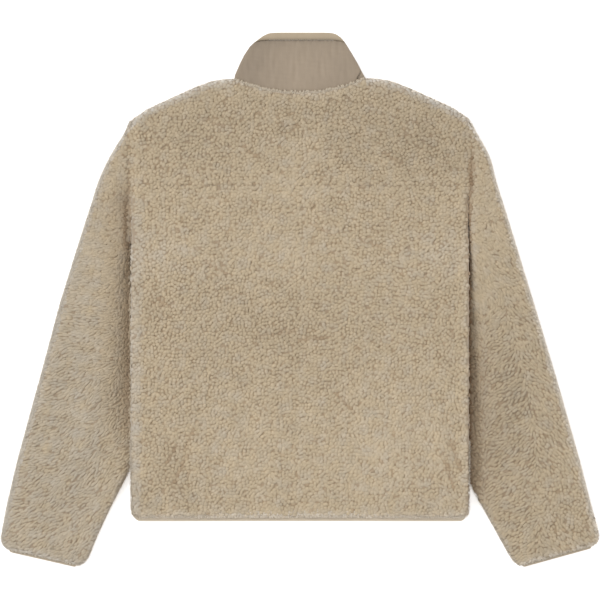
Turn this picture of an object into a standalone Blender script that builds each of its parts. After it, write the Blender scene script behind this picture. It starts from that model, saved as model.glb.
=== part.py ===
"""A sherpa fleece pullover with a woven stand collar, laid flat on its front with its back up.

X runs across the garment, +Y from the hem to the collar and +Z up from the surface it lies on.
The origin is the middle of the garment's outline, on that surface. Sizes are in millimetres,
and add_object turns them into metres.

The body is two layers of fleece, front below and back above. The sleeves are flattened tubes
that start at the armholes and pass under the body's side edges, which they raise.
"""

import math

import bmesh
import bpy
import numpy as np

MM = 0.001
SEAM_GAP = 0.3  # between pieces that are sewn together or lie on each other

# Fleece: the knit backing and the pile of one layer
FLEECE = 9.5
PILE_ROUND = 12.0  # how far in from an edge the pile reaches its full height

# Body
HALF_WIDTH = 271.0
HEM_Y = -347.5  # where the fleece ends and the hem binding starts
HEM_BOTTOM_Y = -353.6
HEM_CORNER = (12.0, 24.0)  # width and height of the rounded hem corner
YOKE_SEAM_Y = 184.0
UNDERARM_Y = 15.0
SHOULDER_Y = 355.5  # top of the shoulder beside the neck
SHOULDER_START = 140.0  # distance from the centre where the shoulder starts to fall
SHOULDER_BLEND = 20.0
SHOULDER_SLOPE = 0.468
SHOULDER_TIP = (240.0, 5.0)  # where the tip starts to round off, and by how much
SHOULDER_LEAN = 0.005  # rise to the right, as the garment lies a little askew
NECK_HALF_WIDTH = 105.0
NECK_CURVE = 2.2
BACK_NECK_DROP = 21.8
FRONT_NECK_DROP = 65.0

# The body's side edges lie on the tucked part of the sleeves
SIDE_LIFT = 17.0
LIFT_ACROSS = (75.0, 220.0)  # distance from the centre where the lift starts, and is full
LIFT_ARM = (125.0, 22.0)  # Y where it starts below the shoulder, and is full
LIFT_HEM = (-284.0, -384.0)  # Y where it starts to fade towards the hem, and would be gone

# Front opening: a woven placket in a notch of the front, closed with press studs
PLACKET_HALF = 16.0
PLACKET_END_Y = 118.0
STUD_RADIUS = 6.5
STUD_PROFILE = ((0.0, 1.3), (3.2, 1.2), (5.6, 0.7), (6.5, 0.1), (6.5, 0.0), (0.0, 0.0))
STUD_YS = (140.0, 205.0, 270.0, 335.0)

# Collar: two layers of woven cloth, flattened
COLLAR_CLOTH = 3.0
COLLAR_TOP_Y = 416.3  # top of the back panel, where its binding starts
COLLAR_FRONT_TOP_Y = 393.0  # the same at the centre front
COLLAR_SIDE_TOP_Y = 411.5  # the same at the folded sides
COLLAR_TIP_MID = 4.15  # height of the gap between the layers at the top
COLLAR_TUCK = (14.0, 0.26)  # the back panel's right corner: how far in, and up to what share
COLLAR_SIDES = {  # how far it reaches to each side of the centre
    "y": (354.3, 360.0, 380.0, 393.0, 406.0, 412.0, 417.0, 421.0, 424.5),
    "left": (105.0, 104.4, 95.7, 89.2, 80.6, 74.2, 67.5, 62.4, 55.0),
    "right": (105.0, 101.6, 91.6, 84.0, 76.3, 72.5, 68.7, 64.9, 60.0),
}

# Bindings: narrow folded strips over the raw edges
BINDING_CLOTH = 2.4
COLLAR_BINDING_HEIGHT = 11.74
COLLAR_BINDING_CLOTH = 4.0
CUFF_BINDING_HEIGHT = 6.0

# Soft folds of the back and the sleeves: a straight line, its half width and its height
FOLDS = (
    {"start": (-186, -215), "end": (-222, -322), "half_width": 26, "height": -2.2},
    {"start": (-150, -205), "end": (-172, -300), "half_width": 24, "height": 1.0},
    {"start": (-12, -125), "end": (-3, -330), "half_width": 22, "height": -1.4},
    {"start": (97, -236), "end": (116, -325), "half_width": 24, "height": -1.3},
    {"start": (192, -140), "end": (220, -212), "half_width": 22, "height": 1.4},
    {"start": (-24, 50), "end": (2, -66), "half_width": 52, "height": -1.4},
    {"start": (-60, 150), "end": (35, 150), "half_width": 46, "height": 1.2},
    {"start": (-78, 205), "end": (40, 225), "half_width": 40, "height": 1.0},
    {"start": (175, 205), "end": (250, 225), "half_width": 44, "height": -1.4},
    {"start": (-250, 20), "end": (-196, 6), "half_width": 26, "height": -1.0},
    {"start": (340, 60), "end": (327, -100), "half_width": 20, "height": -2.4},
    {"start": (360, -150), "end": (336, -275), "half_width": 22, "height": -2.6},
    {"start": (386, -366), "end": (430, -352), "half_width": 18, "height": -2.0},
    {"start": (-352, 30), "end": (-372, -70), "half_width": 22, "height": -1.4},
    {"start": (-318, -250), "end": (-352, -330), "half_width": 22, "height": -1.6},
    {"start": (-410, -290), "end": (-398, -368), "half_width": 20, "height": -1.4},
)

# Sleeves, from the armhole to the cuff. A row is one section: its outer edge, its inner edge,
# and the height of its outer part and of its inner part, which the body lies on.
LEFT_SLEEVE = (
    {"outer": (-271.3, 288.5), "inner": (-271.3, 15.0), "crest": 15.5, "low": 11.5},
    {"outer": (-278.0, 270.0), "inner": (-270.3, 7.0), "crest": 18.6, "low": 13.0},
    {"outer": (-289.0, 252.0), "inner": (-266.5, -5.0), "crest": 20.4, "low": 14.2},
    {"outer": (-304.5, 226.0), "inner": (-262.0, -22.0), "crest": 21.6, "low": 15.4},
    {"outer": (-320.5, 191.0), "inner": (-257.0, -42.0), "crest": 22.4, "low": 16.0},
    {"outer": (-332.5, 154.0), "inner": (-251.0, -63.0), "crest": 22.8, "low": 16.2},
    {"outer": (-349.5, 102.0), "inner": (-244.5, -88.0), "crest": 23.0, "low": 16.2},
    {"outer": (-366.0, 50.0), "inner": (-238.0, -113.0), "crest": 23.0, "low": 16.2},
    {"outer": (-382.0, -1.0), "inner": (-233.0, -140.0), "crest": 23.0, "low": 16.2},
    {"outer": (-396.5, -54.0), "inner": (-232.0, -166.0), "crest": 23.0, "low": 16.2},
    {"outer": (-410.5, -106.0), "inner": (-237.0, -192.0), "crest": 22.8, "low": 16.0},
    {"outer": (-424.5, -157.0), "inner": (-249.0, -222.0), "crest": 22.5, "low": 15.8},
    {"outer": (-438.5, -208.0), "inner": (-266.0, -259.0), "crest": 22.2, "low": 15.6},
    {"outer": (-450.5, -252.0), "inner": (-285.0, -296.0), "crest": 22.0, "low": 17.5},
    {"outer": (-461.0, -296.0), "inner": (-302.0, -329.0), "crest": 21.6, "low": 19.0},
    {"outer": (-470.5, -338.0), "inner": (-319.5, -366.0), "crest": 21.2, "low": 20.0},
    {"outer": (-476.8, -372.0), "inner": (-334.0, -400.0), "crest": 20.6, "low": 20.4},
    {"outer": (-478.0, -384.0), "inner": (-338.5, -411.0), "crest": 20.0, "low": 20.0},
    {"outer": (-474.5, -392.5), "inner": (-345.0, -419.5), "crest": 18.0, "low": 18.0},
    {"outer": (-470.0, -396.0), "inner": (-352.0, -423.0), "crest": 15.0, "low": 15.0},
)
RIGHT_SLEEVE = (
    {"outer": (271.3, 288.5), "inner": (271.3, 15.0), "crest": 15.5, "low": 11.5},
    {"outer": (279.0, 271.0), "inner": (270.3, 7.0), "crest": 18.6, "low": 13.0},
    {"outer": (289.5, 253.0), "inner": (266.5, -5.0), "crest": 20.4, "low": 14.2},
    {"outer": (302.5, 227.0), "inner": (262.0, -22.0), "crest": 21.6, "low": 15.4},
    {"outer": (312.0, 191.0), "inner": (257.0, -42.0), "crest": 22.4, "low": 16.0},
    {"outer": (323.5, 154.0), "inner": (251.0, -63.0), "crest": 22.8, "low": 16.2},
    {"outer": (340.0, 102.0), "inner": (244.5, -88.0), "crest": 23.0, "low": 16.2},
    {"outer": (356.0, 50.0), "inner": (238.0, -113.0), "crest": 23.0, "low": 16.2},
    {"outer": (372.0, -1.0), "inner": (233.0, -140.0), "crest": 23.0, "low": 16.2},
    {"outer": (388.0, -54.0), "inner": (231.0, -168.0), "crest": 23.0, "low": 16.2},
    {"outer": (403.5, -106.0), "inner": (233.0, -196.0), "crest": 22.8, "low": 16.0},
    {"outer": (418.5, -157.0), "inner": (241.0, -228.0), "crest": 22.5, "low": 15.8},
    {"outer": (433.0, -208.0), "inner": (257.0, -266.0), "crest": 22.2, "low": 15.6},
    {"outer": (446.0, -254.0), "inner": (276.0, -303.0), "crest": 22.0, "low": 16.4},
    {"outer": (457.5, -298.0), "inner": (295.0, -336.0), "crest": 21.6, "low": 18.5},
    {"outer": (468.0, -338.0), "inner": (313.5, -369.0), "crest": 21.2, "low": 20.0},
    {"outer": (476.5, -369.0), "inner": (328.5, -396.0), "crest": 20.6, "low": 20.4},
    {"outer": (478.0, -379.0), "inner": (335.0, -407.5), "crest": 20.0, "low": 20.0},
    {"outer": (475.5, -386.5), "inner": (342.0, -417.5), "crest": 18.0, "low": 18.0},
    {"outer": (471.0, -390.0), "inner": (350.0, -423.5), "crest": 15.0, "low": 15.0},
)
SLEEVE_FALL = (0.48, 0.74)  # shares of the section where its height falls from crest to low
SLEEVE_SLIT = 0.6  # height of the gap between a sleeve's two layers
SLEEVE_EDGE = (0.0, 1.2, 4.5, 12.0)  # places across the rounded edge of a section
SLEEVE_INSIDE = (0.18, 0.33, 0.48, 0.61, 0.74, 0.86)  # shares of the stretch between the edges


def smooth(t):
    """0 below 0, 1 above 1, and an S-shaped curve between them."""
    t = np.clip(t, 0.0, 1.0)
    return t * t * (3.0 - 2.0 * t)


def edge_share(distance, face, reach=PILE_ROUND):
    """Share of the full thickness at a distance from an edge, where the face has its own share."""
    t = 1.0 - np.clip(distance / reach, 0.0, 1.0)
    return face + (1.0 - face) * np.sqrt(1.0 - t * t)


def side_lift(x, y):
    """How far the sleeves raise the body's lower surface."""
    across = smooth((np.abs(x) - LIFT_ACROSS[0]) / (LIFT_ACROSS[1] - LIFT_ACROSS[0]))
    below_arm = smooth((LIFT_ARM[0] - y) / (LIFT_ARM[0] - LIFT_ARM[1]))
    above_hem = smooth((y - LIFT_HEM[1]) / (LIFT_HEM[0] - LIFT_HEM[1]))
    return SIDE_LIFT * across * below_arm * above_hem


def middle(x, y):
    """Height of the plane between the front and the back."""
    return FLEECE + SEAM_GAP / 2 + side_lift(x, y)


def fold_height(x, y):
    """Sum of the soft folds at a point."""
    total = np.zeros(np.broadcast(x, y).shape)
    for fold in FOLDS:
        start = np.array(fold["start"], float)
        along = np.array(fold["end"], float) - start
        share = ((x - start[0]) * along[0] + (y - start[1]) * along[1]) / (along @ along)
        share = np.clip(share, 0.0, 1.0)
        distance = np.hypot(x - start[0] - share * along[0], y - start[1] - share * along[1])
        total = total + fold["height"] * smooth(1.0 - distance / (1.6 * fold["half_width"]))
    return total


def half_width(y):
    """Half the body's width at a height, with the rounded hem corner."""
    t = np.clip((HEM_BOTTOM_Y + HEM_CORNER[1] - y) / HEM_CORNER[1], 0.0, 1.0)
    return HALF_WIDTH - HEM_CORNER[0] * (1.0 - np.sqrt(1.0 - t * t))


def top_edge(x, neck_drop):
    """Y of the body's top edge: the neckline, then the shoulder."""
    out = np.abs(x)
    past = out - SHOULDER_START
    fall = SHOULDER_SLOPE * 0.5 * (past + np.sqrt(past**2 + SHOULDER_BLEND**2))
    tip = SHOULDER_TIP[1] * smooth((out - SHOULDER_TIP[0]) / (HALF_WIDTH - SHOULDER_TIP[0]))
    shoulder = SHOULDER_Y - fall - tip
    start = 0.5 * (NECK_HALF_WIDTH - SHOULDER_START)
    start += 0.5 * math.hypot(NECK_HALF_WIDTH - SHOULDER_START, SHOULDER_BLEND)
    neck_point = SHOULDER_Y - SHOULDER_SLOPE * start
    share = np.clip(out / NECK_HALF_WIDTH, 0.0, 1.0)
    neck = neck_point - neck_drop * (1.0 - share**NECK_CURVE)
    return np.where(out < NECK_HALF_WIDTH, neck, shoulder) + SHOULDER_LEAN * x


# ---------------------------------------------------------------- making solids


def material(name, colour, roughness, metallic=0.0):
    made = bpy.data.materials.new(name)
    made.use_nodes = True
    shader = made.node_tree.nodes["Principled BSDF"]
    shader.inputs["Base Color"].default_value = (*colour, 1.0)
    shader.inputs["Roughness"].default_value = roughness
    shader.inputs["Metallic"].default_value = metallic
    return made


def add_object(name, bm, finish):
    """Puts a mesh, in millimetres, into the scene in metres."""
    bmesh.ops.recalc_face_normals(bm, faces=bm.faces)
    bmesh.ops.scale(bm, vec=(MM, MM, MM), verts=bm.verts)
    mesh = bpy.data.meshes.new(name)
    bm.to_mesh(mesh)
    bm.free()
    mesh.materials.append(finish)
    mesh.shade_smooth()
    mesh.set_sharp_from_angle(angle=math.radians(50))
    made = bpy.data.objects.new(name, mesh)
    bpy.context.scene.collection.objects.link(made)
    return made


def add_layer(name, x, y, upper, lower, finish, left_out=None):
    """A layer of cloth from a grid of points, between its upper and its lower surface.

    left_out marks the cells of the grid that are cut away."""
    bm = bmesh.new()
    rows, columns = x.shape

    def skin(z):
        points = [
            [bm.verts.new((x[j, i], y[j, i], z[j, i])) for i in range(columns)]
            for j in range(rows)
        ]
        for j in range(rows - 1):
            for i in range(columns - 1):
                if left_out is None or not left_out[j, i]:
                    near, far = points[j], points[j + 1]
                    bm.faces.new((near[i], near[i + 1], far[i + 1], far[i]))
        return [point for row in points for point in row]

    top = skin(upper)
    rim = [edge for edge in bm.edges if edge.is_boundary]
    below = dict(zip(top, skin(lower)))
    for edge in rim:
        a, b = edge.verts
        bm.faces.new((a, b, below[b], below[a]))
    loose = [vert for vert in bm.verts if not vert.link_faces]
    bmesh.ops.delete(bm, geom=loose, context="VERTS")
    return add_object(name, bm, finish)


def add_tube(name, outer_rings, inner_rings, finish):
    """A flattened tube of cloth: rings of its outside and of its inside, open at both ends."""
    bm = bmesh.new()

    def skin(rings):
        made = [[bm.verts.new(point) for point in ring] for ring in rings]
        for ring, following in zip(made, made[1:]):
            for k in range(len(ring)):
                n = (k + 1) % len(ring)
                bm.faces.new((ring[k], ring[n], following[n], following[k]))
        return made

    outside, inside = skin(outer_rings), skin(inner_rings)
    for outer_ring, inner_ring in ((outside[0], inside[0]), (outside[-1], inside[-1])):
        for k in range(len(outer_ring)):
            n = (k + 1) % len(outer_ring)
            bm.faces.new((outer_ring[k], outer_ring[n], inner_ring[n], inner_ring[k]))
    return add_object(name, bm, finish)


def flat_ring(start, end, across, upper, lower, middle_z):
    """A closed ring round a flat section: over its top from start to end, and back below.

    across holds distances from start. upper and lower are heights at those distances, and the
    ring's two edges are at middle_z."""
    start, end = np.array(start, float), np.array(end, float)
    along = (end - start) / np.linalg.norm(end - start)
    inner = across[1:-1]
    place = [start + along * d for d in across]
    over = [(*place[k + 1], upper[k + 1]) for k in range(len(inner))]
    under = [(*place[k + 1], lower[k + 1]) for k in reversed(range(len(inner)))]
    return [(*place[0], middle_z[0]), *over, (*place[-1], middle_z[-1]), *under]


# ---------------------------------------------------------------- body

SIDE_COLUMNS = (271.0, 269.6, 266.5, 261.0, 252.0, 232.0, 204.0, 170.0, 138.0)
BACK_NECK_COLUMNS = (105.0, 101.0, 90.0, 66.0, 40.0, 14.0)
FRONT_NECK_COLUMNS = (105.0, 98.0, 84.0, 62.0, 40.0, PLACKET_HALF + SEAM_GAP)


def mirrored(columns):
    """Places across the body, from its left side to its right."""
    return np.array([-c for c in columns] + [c for c in reversed(columns)])


def body_grid(columns, rows):
    """Grid of points: rows of constant Y, narrowed at the hem corners."""
    x, y = np.meshgrid(columns, rows)
    return x * half_width(y) / HALF_WIDTH, y


def body_share(x, y, neck_drop):
    """Share of the fleece's full thickness near the body's own edges."""
    side = half_width(y) - np.abs(x)
    armhole = smooth((y - UNDERARM_Y) / 30.0)
    share = edge_share(side, 0.25 + 0.35 * armhole)
    top = top_edge(x, neck_drop) - y
    at_neck = np.abs(x) < NECK_HALF_WIDTH
    share = share * edge_share(top, np.where(at_neck, 0.6, 0.28))
    return share * edge_share(y - HEM_Y, 0.35)


def build_back(fleece):
    """The back's lower panel, from the hem to the yoke seam."""
    edge = (0.0, 1.2, 4.5, 11.0)
    middle_rows = np.linspace(HEM_Y + 32.0, YOKE_SEAM_Y - 30.0, 15)
    seam = YOKE_SEAM_Y - SEAM_GAP / 2
    rows = [HEM_Y + e for e in edge] + list(middle_rows) + [seam - 8.0, seam - 2.5, seam]
    x, y = body_grid(mirrored(SIDE_COLUMNS + BACK_NECK_COLUMNS), rows)
    share = body_share(x, y, BACK_NECK_DROP) * edge_share(seam - y, 0.8, 8.0)
    lower = middle(x, y) + SEAM_GAP / 2
    upper = lower + (FLEECE + fold_height(x, y)) * share
    add_layer("back_body", x, y, upper, lower, fleece)


def build_yoke(fleece):
    """The back yoke, from its seam up to the shoulders and the back neckline."""
    seam = YOKE_SEAM_Y + SEAM_GAP / 2
    columns = mirrored(SIDE_COLUMNS + BACK_NECK_COLUMNS)
    top = top_edge(columns, BACK_NECK_DROP)
    shares = np.linspace(0.0, 1.0, 5)[1:]
    first, last = seam + 12.0, top - 12.0
    rows = [np.full_like(top, seam + e) for e in (0.0, 2.5, 8.0)]
    rows += [first + (last - first) * s for s in shares]
    rows += [top - e for e in (4.5, 1.2, 0.0)]
    y = np.array(rows)
    x = np.broadcast_to(columns, y.shape)
    share = body_share(x, y, BACK_NECK_DROP) * edge_share(y - seam, 0.8, 8.0)
    lower = middle(x, y) + SEAM_GAP / 2
    upper = lower + (FLEECE + fold_height(x, y)) * share
    add_layer("back_yoke", x, y, upper, lower, fleece)


def build_front(fleece):
    """The front, which the garment lies on, with a notch for the placket."""
    columns = mirrored(SIDE_COLUMNS + FRONT_NECK_COLUMNS)
    top = top_edge(columns, FRONT_NECK_DROP)
    edge = (0.0, 1.2, 4.5, 11.0)
    low_rows = [HEM_Y + e for e in edge]
    low_rows += list(np.linspace(HEM_Y + 32.0, PLACKET_END_Y - 30.0, 13))
    low_rows += [PLACKET_END_Y - 6.0 - SEAM_GAP, PLACKET_END_Y - SEAM_GAP]
    x_low, y_low = body_grid(columns, low_rows)
    first, last = PLACKET_END_Y + 12.0, top - 12.0
    rows = [first + (last - first) * s for s in np.linspace(0.0, 1.0, 6)]
    rows += [top - e for e in (4.5, 1.2, 0.0)]
    y = np.concatenate([y_low, np.array(rows)])
    x = np.concatenate([x_low, np.broadcast_to(columns, (len(rows), len(columns)))])
    notch_side = np.abs(x) - (PLACKET_HALF + SEAM_GAP)
    notch_end = PLACKET_END_Y - SEAM_GAP - y
    notch = edge_share(np.maximum(notch_side, notch_end), 0.6, 6.0)
    share = body_share(x, y, FRONT_NECK_DROP) * notch
    upper = middle(x, y) - SEAM_GAP / 2
    lower = upper - FLEECE * share
    in_placket = np.abs(x[:-1, :-1] + x[:-1, 1:]) < 1e-6
    left_out = in_placket & (y[:-1, :-1] >= PLACKET_END_Y - SEAM_GAP - 1e-6)
    add_layer("front_body", x, y, upper, lower, fleece, left_out)


# ---------------------------------------------------------------- sleeves


def sleeve_section(row):
    """The outer and the inner ring of a sleeve at one row of its table."""
    outer, inner = np.array(row["outer"]), np.array(row["inner"])
    width = np.linalg.norm(inner - outer)
    edge = np.array(SLEEVE_EDGE)
    inside = edge[-1] + (width - 2 * edge[-1]) * np.array(SLEEVE_INSIDE)
    across = np.concatenate([edge, inside, width - edge[::-1]])
    near_edge = np.minimum(across, width - across)
    fall = smooth((across / width - SLEEVE_FALL[0]) / (SLEEVE_FALL[1] - SLEEVE_FALL[0]))
    height = row["crest"] + (row["low"] - row["crest"]) * fall
    place = outer + np.outer(across / width, inner - outer)
    height = height + fold_height(place[:, 0], place[:, 1])
    mid = 0.47 * height
    share = edge_share(near_edge, 0.0)
    upper, lower = mid + (height - mid) * share, mid - mid * share
    outside = flat_ring(outer, inner, across, upper, lower, mid)
    wall = 0.42 * row["crest"]
    slit_across = wall + (width - 2 * wall) * across / width
    slit = SLEEVE_SLIT / 2 * edge_share(near_edge, 0.3)
    slit_mid = np.interp(slit_across, across, mid)
    inner_ring = flat_ring(outer, inner, slit_across, slit_mid + slit, slit_mid - slit, slit_mid)
    return outside, inner_ring


def build_sleeve(name, table, fleece):
    """A sleeve, closed at its outer fold and sewn along its inner edge."""
    sections = [sleeve_section(row) for row in table]
    add_tube(name, [s[0] for s in sections], [s[1] for s in sections], fleece)


def binding_ring(start, end, places, thick, edge, level):
    """A ring round a binding's section. places holds shares of its length."""
    start, end = np.array(start, float), np.array(end, float)
    length = np.linalg.norm(end - start)
    across = edge + (length - 2 * edge) * np.array(places)
    rise = thick * edge_share(np.minimum(across - edge, length - edge - across), 0.2, 4.0)
    return flat_ring(start, end, across, level + rise, level - rise, level)


def build_cuff_binding(name, table, cloth):
    """The narrow strip round a cuff, set against the end of its sleeve."""
    outer, inner = np.array(table[-1]["outer"]), np.array(table[-1]["inner"])
    along = (inner - outer) / np.linalg.norm(inner - outer)
    away = np.array([along[1], -along[0]])
    away = away if away[1] < 0 else -away
    places = (0.0, 0.02, 0.06, 0.25, 0.5, 0.75, 0.94, 0.98, 1.0)
    level = np.full(len(places), 0.47 * table[-1]["crest"])
    rings = []
    for share, inset in ((0.0, 2.0), (0.6, 2.6), (1.0, 4.6)):
        offset = away * (SEAM_GAP + share * CUFF_BINDING_HEIGHT)
        start, end = outer + offset + along * inset, inner + offset - along * inset
        rings.append(binding_ring(start, end, places, BINDING_CLOTH, 0.0, level))
        rings.append(binding_ring(start, end, places, SEAM_GAP / 2, BINDING_CLOTH, level))
    add_tube(name, rings[0::2], rings[1::2], cloth)


def build_hem_binding(cloth):
    """The narrow strip round the hem, through the back and the front."""
    places = (0.0, 0.004, 0.012, 0.03, *np.linspace(0.08, 0.92, 14), 0.97, 0.988, 0.996, 1.0)
    rings = []
    for y in (HEM_Y - SEAM_GAP, HEM_Y - 3.4, HEM_BOTTOM_Y):
        reach = float(half_width(np.array(y))) - 2.0
        level = middle(reach * (2.0 * np.array(places) - 1.0), y)
        ends = (-reach, y), (reach, y)
        rings.append(binding_ring(*ends, places, BINDING_CLOTH, 0.0, level))
        rings.append(binding_ring(*ends, places, SEAM_GAP / 2, BINDING_CLOTH, level))
    add_tube("hem_binding", rings[0::2], rings[1::2], cloth)


# ---------------------------------------------------------------- collar


def collar_reach(y, across):
    """How far the collar reaches at a height, on the side that across is on."""
    left = np.interp(y, COLLAR_SIDES["y"], COLLAR_SIDES["left"])
    right = np.interp(y, COLLAR_SIDES["y"], COLLAR_SIDES["right"])
    return np.where(across < 0.0, left, right)


def collar_middle(share):
    """Height of the gap between the collar's layers, from its base to its top."""
    base = FLEECE + SEAM_GAP / 2
    return base + (COLLAR_TIP_MID - base) * smooth(share)


def collar_points(across, up, neck_drop, centre_top):
    """Points of a collar panel. across runs from -1 to 1 and up from 0 at the neckline to 1."""
    side_base = float(top_edge(np.array(NECK_HALF_WIDTH - 1e-6), 0.0))
    side_y = side_base + (COLLAR_SIDE_TOP_Y - side_base) * up
    x = across * collar_reach(side_y, across)
    base = top_edge(across * (NECK_HALF_WIDTH - 1e-6), neck_drop) + SEAM_GAP
    top = centre_top + (COLLAR_SIDE_TOP_Y - centre_top) * across**4
    return x, base + (top - base) * up


COLLAR_ROWS = (0.0, 0.12, 0.25, 0.42, 0.6, 0.78, 0.92, 1.0)


def build_collar_back(cloth):
    """The back half of the collar. Its right corner is folded in a little."""
    columns = mirrored(BACK_NECK_COLUMNS) / NECK_HALF_WIDTH
    across, up = np.meshgrid(columns, COLLAR_ROWS)
    near_corner = smooth((across - 0.8) / 0.2) * (1.0 - smooth(up / COLLAR_TUCK[1]))
    across = across - COLLAR_TUCK[0] / NECK_HALF_WIDTH * near_corner
    x, y = collar_points(across, up, BACK_NECK_DROP, COLLAR_TOP_Y)
    edge = np.broadcast_to(1.0 - np.abs(columns), across.shape)
    share = edge_share(edge * NECK_HALF_WIDTH, 0.3, 4.0)
    lower = collar_middle(up) + SEAM_GAP / 2
    add_layer("collar_back", x, y, lower + COLLAR_CLOTH * share, lower, cloth)


def build_collar_front(name, side, cloth):
    """One front half of the collar, from the placket to the folded side."""
    places = np.array(FRONT_NECK_COLUMNS)
    across, up = np.meshgrid(side * places / NECK_HALF_WIDTH, COLLAR_ROWS)
    x, y = collar_points(across, up, FRONT_NECK_DROP, COLLAR_FRONT_TOP_Y)
    x[:, -1] = side * (PLACKET_HALF + SEAM_GAP)
    edge = (1.0 - np.abs(across)) * NECK_HALF_WIDTH
    share = edge_share(edge, 0.3, 4.0)
    upper = collar_middle(up) - SEAM_GAP / 2
    add_layer(name, x, y, upper, upper - COLLAR_CLOTH * share, cloth)


def build_placket(cloth):
    """The woven strip that closes the front, from its notch to the top of the collar."""
    half = np.array([-1.0, -0.93, 0.0, 0.93, 1.0]) * PLACKET_HALF
    neck = float(top_edge(np.array(0.0), FRONT_NECK_DROP))
    rows = [PLACKET_END_Y, PLACKET_END_Y + 2.0, *np.linspace(PLACKET_END_Y + 40, neck, 5)]
    rows += list(neck + (COLLAR_FRONT_TOP_Y - neck) * np.array(COLLAR_ROWS[1:]))
    x, y = np.meshgrid(half, rows)
    up = np.clip((y - neck) / (COLLAR_FRONT_TOP_Y - neck), 0.0, 1.0)
    upper = collar_middle(up) - SEAM_GAP / 2
    share = edge_share(PLACKET_HALF - np.abs(x), 0.7, 1.2)
    add_layer("placket", x, y, upper, upper - COLLAR_CLOTH * share, cloth)
    return neck


def build_studs(neck, metal):
    """Round press studs on the placket's face, which looks down."""
    for number, y in enumerate(STUD_YS, 1):
        near = np.array([y - STUD_RADIUS, y + STUD_RADIUS])
        up = np.clip((near - neck) / (COLLAR_FRONT_TOP_Y - neck), 0.0, 1.0)
        base = float(np.min(collar_middle(up))) - SEAM_GAP / 2 - COLLAR_CLOTH - SEAM_GAP
        bm = bmesh.new()
        verts = [bm.verts.new((r, y, base - depth)) for r, depth in STUD_PROFILE]
        edges = [bm.edges.new(pair) for pair in zip(verts, verts[1:])]
        turn = {"cent": (0, y, 0), "axis": (0, 0, 1), "angle": math.tau, "steps": 20}
        bmesh.ops.spin(bm, geom=verts + edges, **turn)
        bmesh.ops.remove_doubles(bm, verts=bm.verts, dist=0.001)
        add_object(f"stud_{number}", bm, metal)


def build_collar_binding(cloth):
    """The folded strip round the top of the collar, through its back and its front."""
    back_columns = mirrored(BACK_NECK_COLUMNS) / NECK_HALF_WIDTH
    front_columns = mirrored(FRONT_NECK_COLUMNS) / NECK_HALF_WIDTH

    def edge_of(columns, side_y, inset, centre_top, rise, thick):
        """Points along the binding on one side of the collar, left to right."""
        sides = collar_reach(side_y, columns)
        x = columns * (sides - inset)
        y = centre_top + (COLLAR_SIDE_TOP_Y - centre_top) * (x / sides) ** 4 + rise
        z = COLLAR_TIP_MID + thick * edge_share(sides - inset - np.abs(x), 0.2, 5.0)
        return [*zip(x, y, z)]

    rings = []
    for share, fullness in ((0.0, 1.0), (0.35, 1.0), (0.7, 1.0), (0.9, 0.93), (1.0, 0.7)):
        rise = SEAM_GAP + share * COLLAR_BINDING_HEIGHT
        side_y = COLLAR_SIDE_TOP_Y + rise
        for thick, inset in ((COLLAR_BINDING_CLOTH * fullness, 0.0), (SEAM_GAP / 2, 4.0)):
            over = edge_of(back_columns, side_y, inset, COLLAR_TOP_Y, rise, thick)
            under = edge_of(front_columns, side_y, inset, COLLAR_FRONT_TOP_Y, rise, -thick)
            left = (over[0][0], over[0][1], COLLAR_TIP_MID)
            right = (over[-1][0], over[-1][1], COLLAR_TIP_MID)
            rings.append([left, *over[1:-1], right, *reversed(under[1:-1])])
    add_tube("collar_binding", rings[0::2], rings[1::2], cloth)


def build():
    for old in list(bpy.data.objects):
        bpy.data.objects.remove(old)
    fleece = material("fleece", (0.445, 0.351, 0.246), 0.95)
    woven = material("woven", (0.381, 0.305, 0.223), 0.7)
    binding = material("binding", (0.48, 0.38, 0.26), 0.75)
    metal = material("stud_metal", (0.35, 0.29, 0.22), 0.4, 1.0)
    build_back(fleece)
    build_yoke(fleece)
    build_front(fleece)
    build_sleeve("sleeve_left", LEFT_SLEEVE, fleece)
    build_sleeve("sleeve_right", RIGHT_SLEEVE, fleece)
    build_collar_back(woven)
    build_collar_front("collar_front_left", -1, woven)
    build_collar_front("collar_front_right", 1, woven)
    neck = build_placket(woven)
    build_studs(neck, metal)
    build_collar_binding(binding)
    build_hem_binding(binding)
    build_cuff_binding("cuff_binding_left", LEFT_SLEEVE, binding)
    build_cuff_binding("cuff_binding_right", RIGHT_SLEEVE, binding)


build()
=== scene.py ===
"""The looks of a sherpa fleece pullover that lies flat on its front, with its back up.

Sizes are in millimetres until a mesh is made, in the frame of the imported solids.
"""

import math

import bpy
import numpy as np
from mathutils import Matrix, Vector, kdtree


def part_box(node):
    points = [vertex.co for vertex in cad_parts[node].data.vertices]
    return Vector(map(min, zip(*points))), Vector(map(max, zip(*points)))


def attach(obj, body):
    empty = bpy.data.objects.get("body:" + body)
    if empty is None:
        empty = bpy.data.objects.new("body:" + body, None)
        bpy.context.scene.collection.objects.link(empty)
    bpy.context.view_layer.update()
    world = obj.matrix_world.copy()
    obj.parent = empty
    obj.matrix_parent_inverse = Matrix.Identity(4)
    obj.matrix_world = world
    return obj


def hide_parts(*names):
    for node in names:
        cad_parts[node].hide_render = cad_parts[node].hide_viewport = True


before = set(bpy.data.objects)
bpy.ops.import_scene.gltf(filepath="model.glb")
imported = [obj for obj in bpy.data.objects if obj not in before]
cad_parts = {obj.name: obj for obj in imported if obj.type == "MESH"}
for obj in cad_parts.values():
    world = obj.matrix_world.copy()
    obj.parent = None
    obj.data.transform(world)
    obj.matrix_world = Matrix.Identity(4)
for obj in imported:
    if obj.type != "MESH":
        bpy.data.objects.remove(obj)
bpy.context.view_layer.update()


# ------------------------------------------------------------------ body: form
# The body is two layers of fleece, front below and back above, sewn at the sides, shoulders
# and neck. It lies flat, and the sleeves that pass under its side edges raise them.

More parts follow.
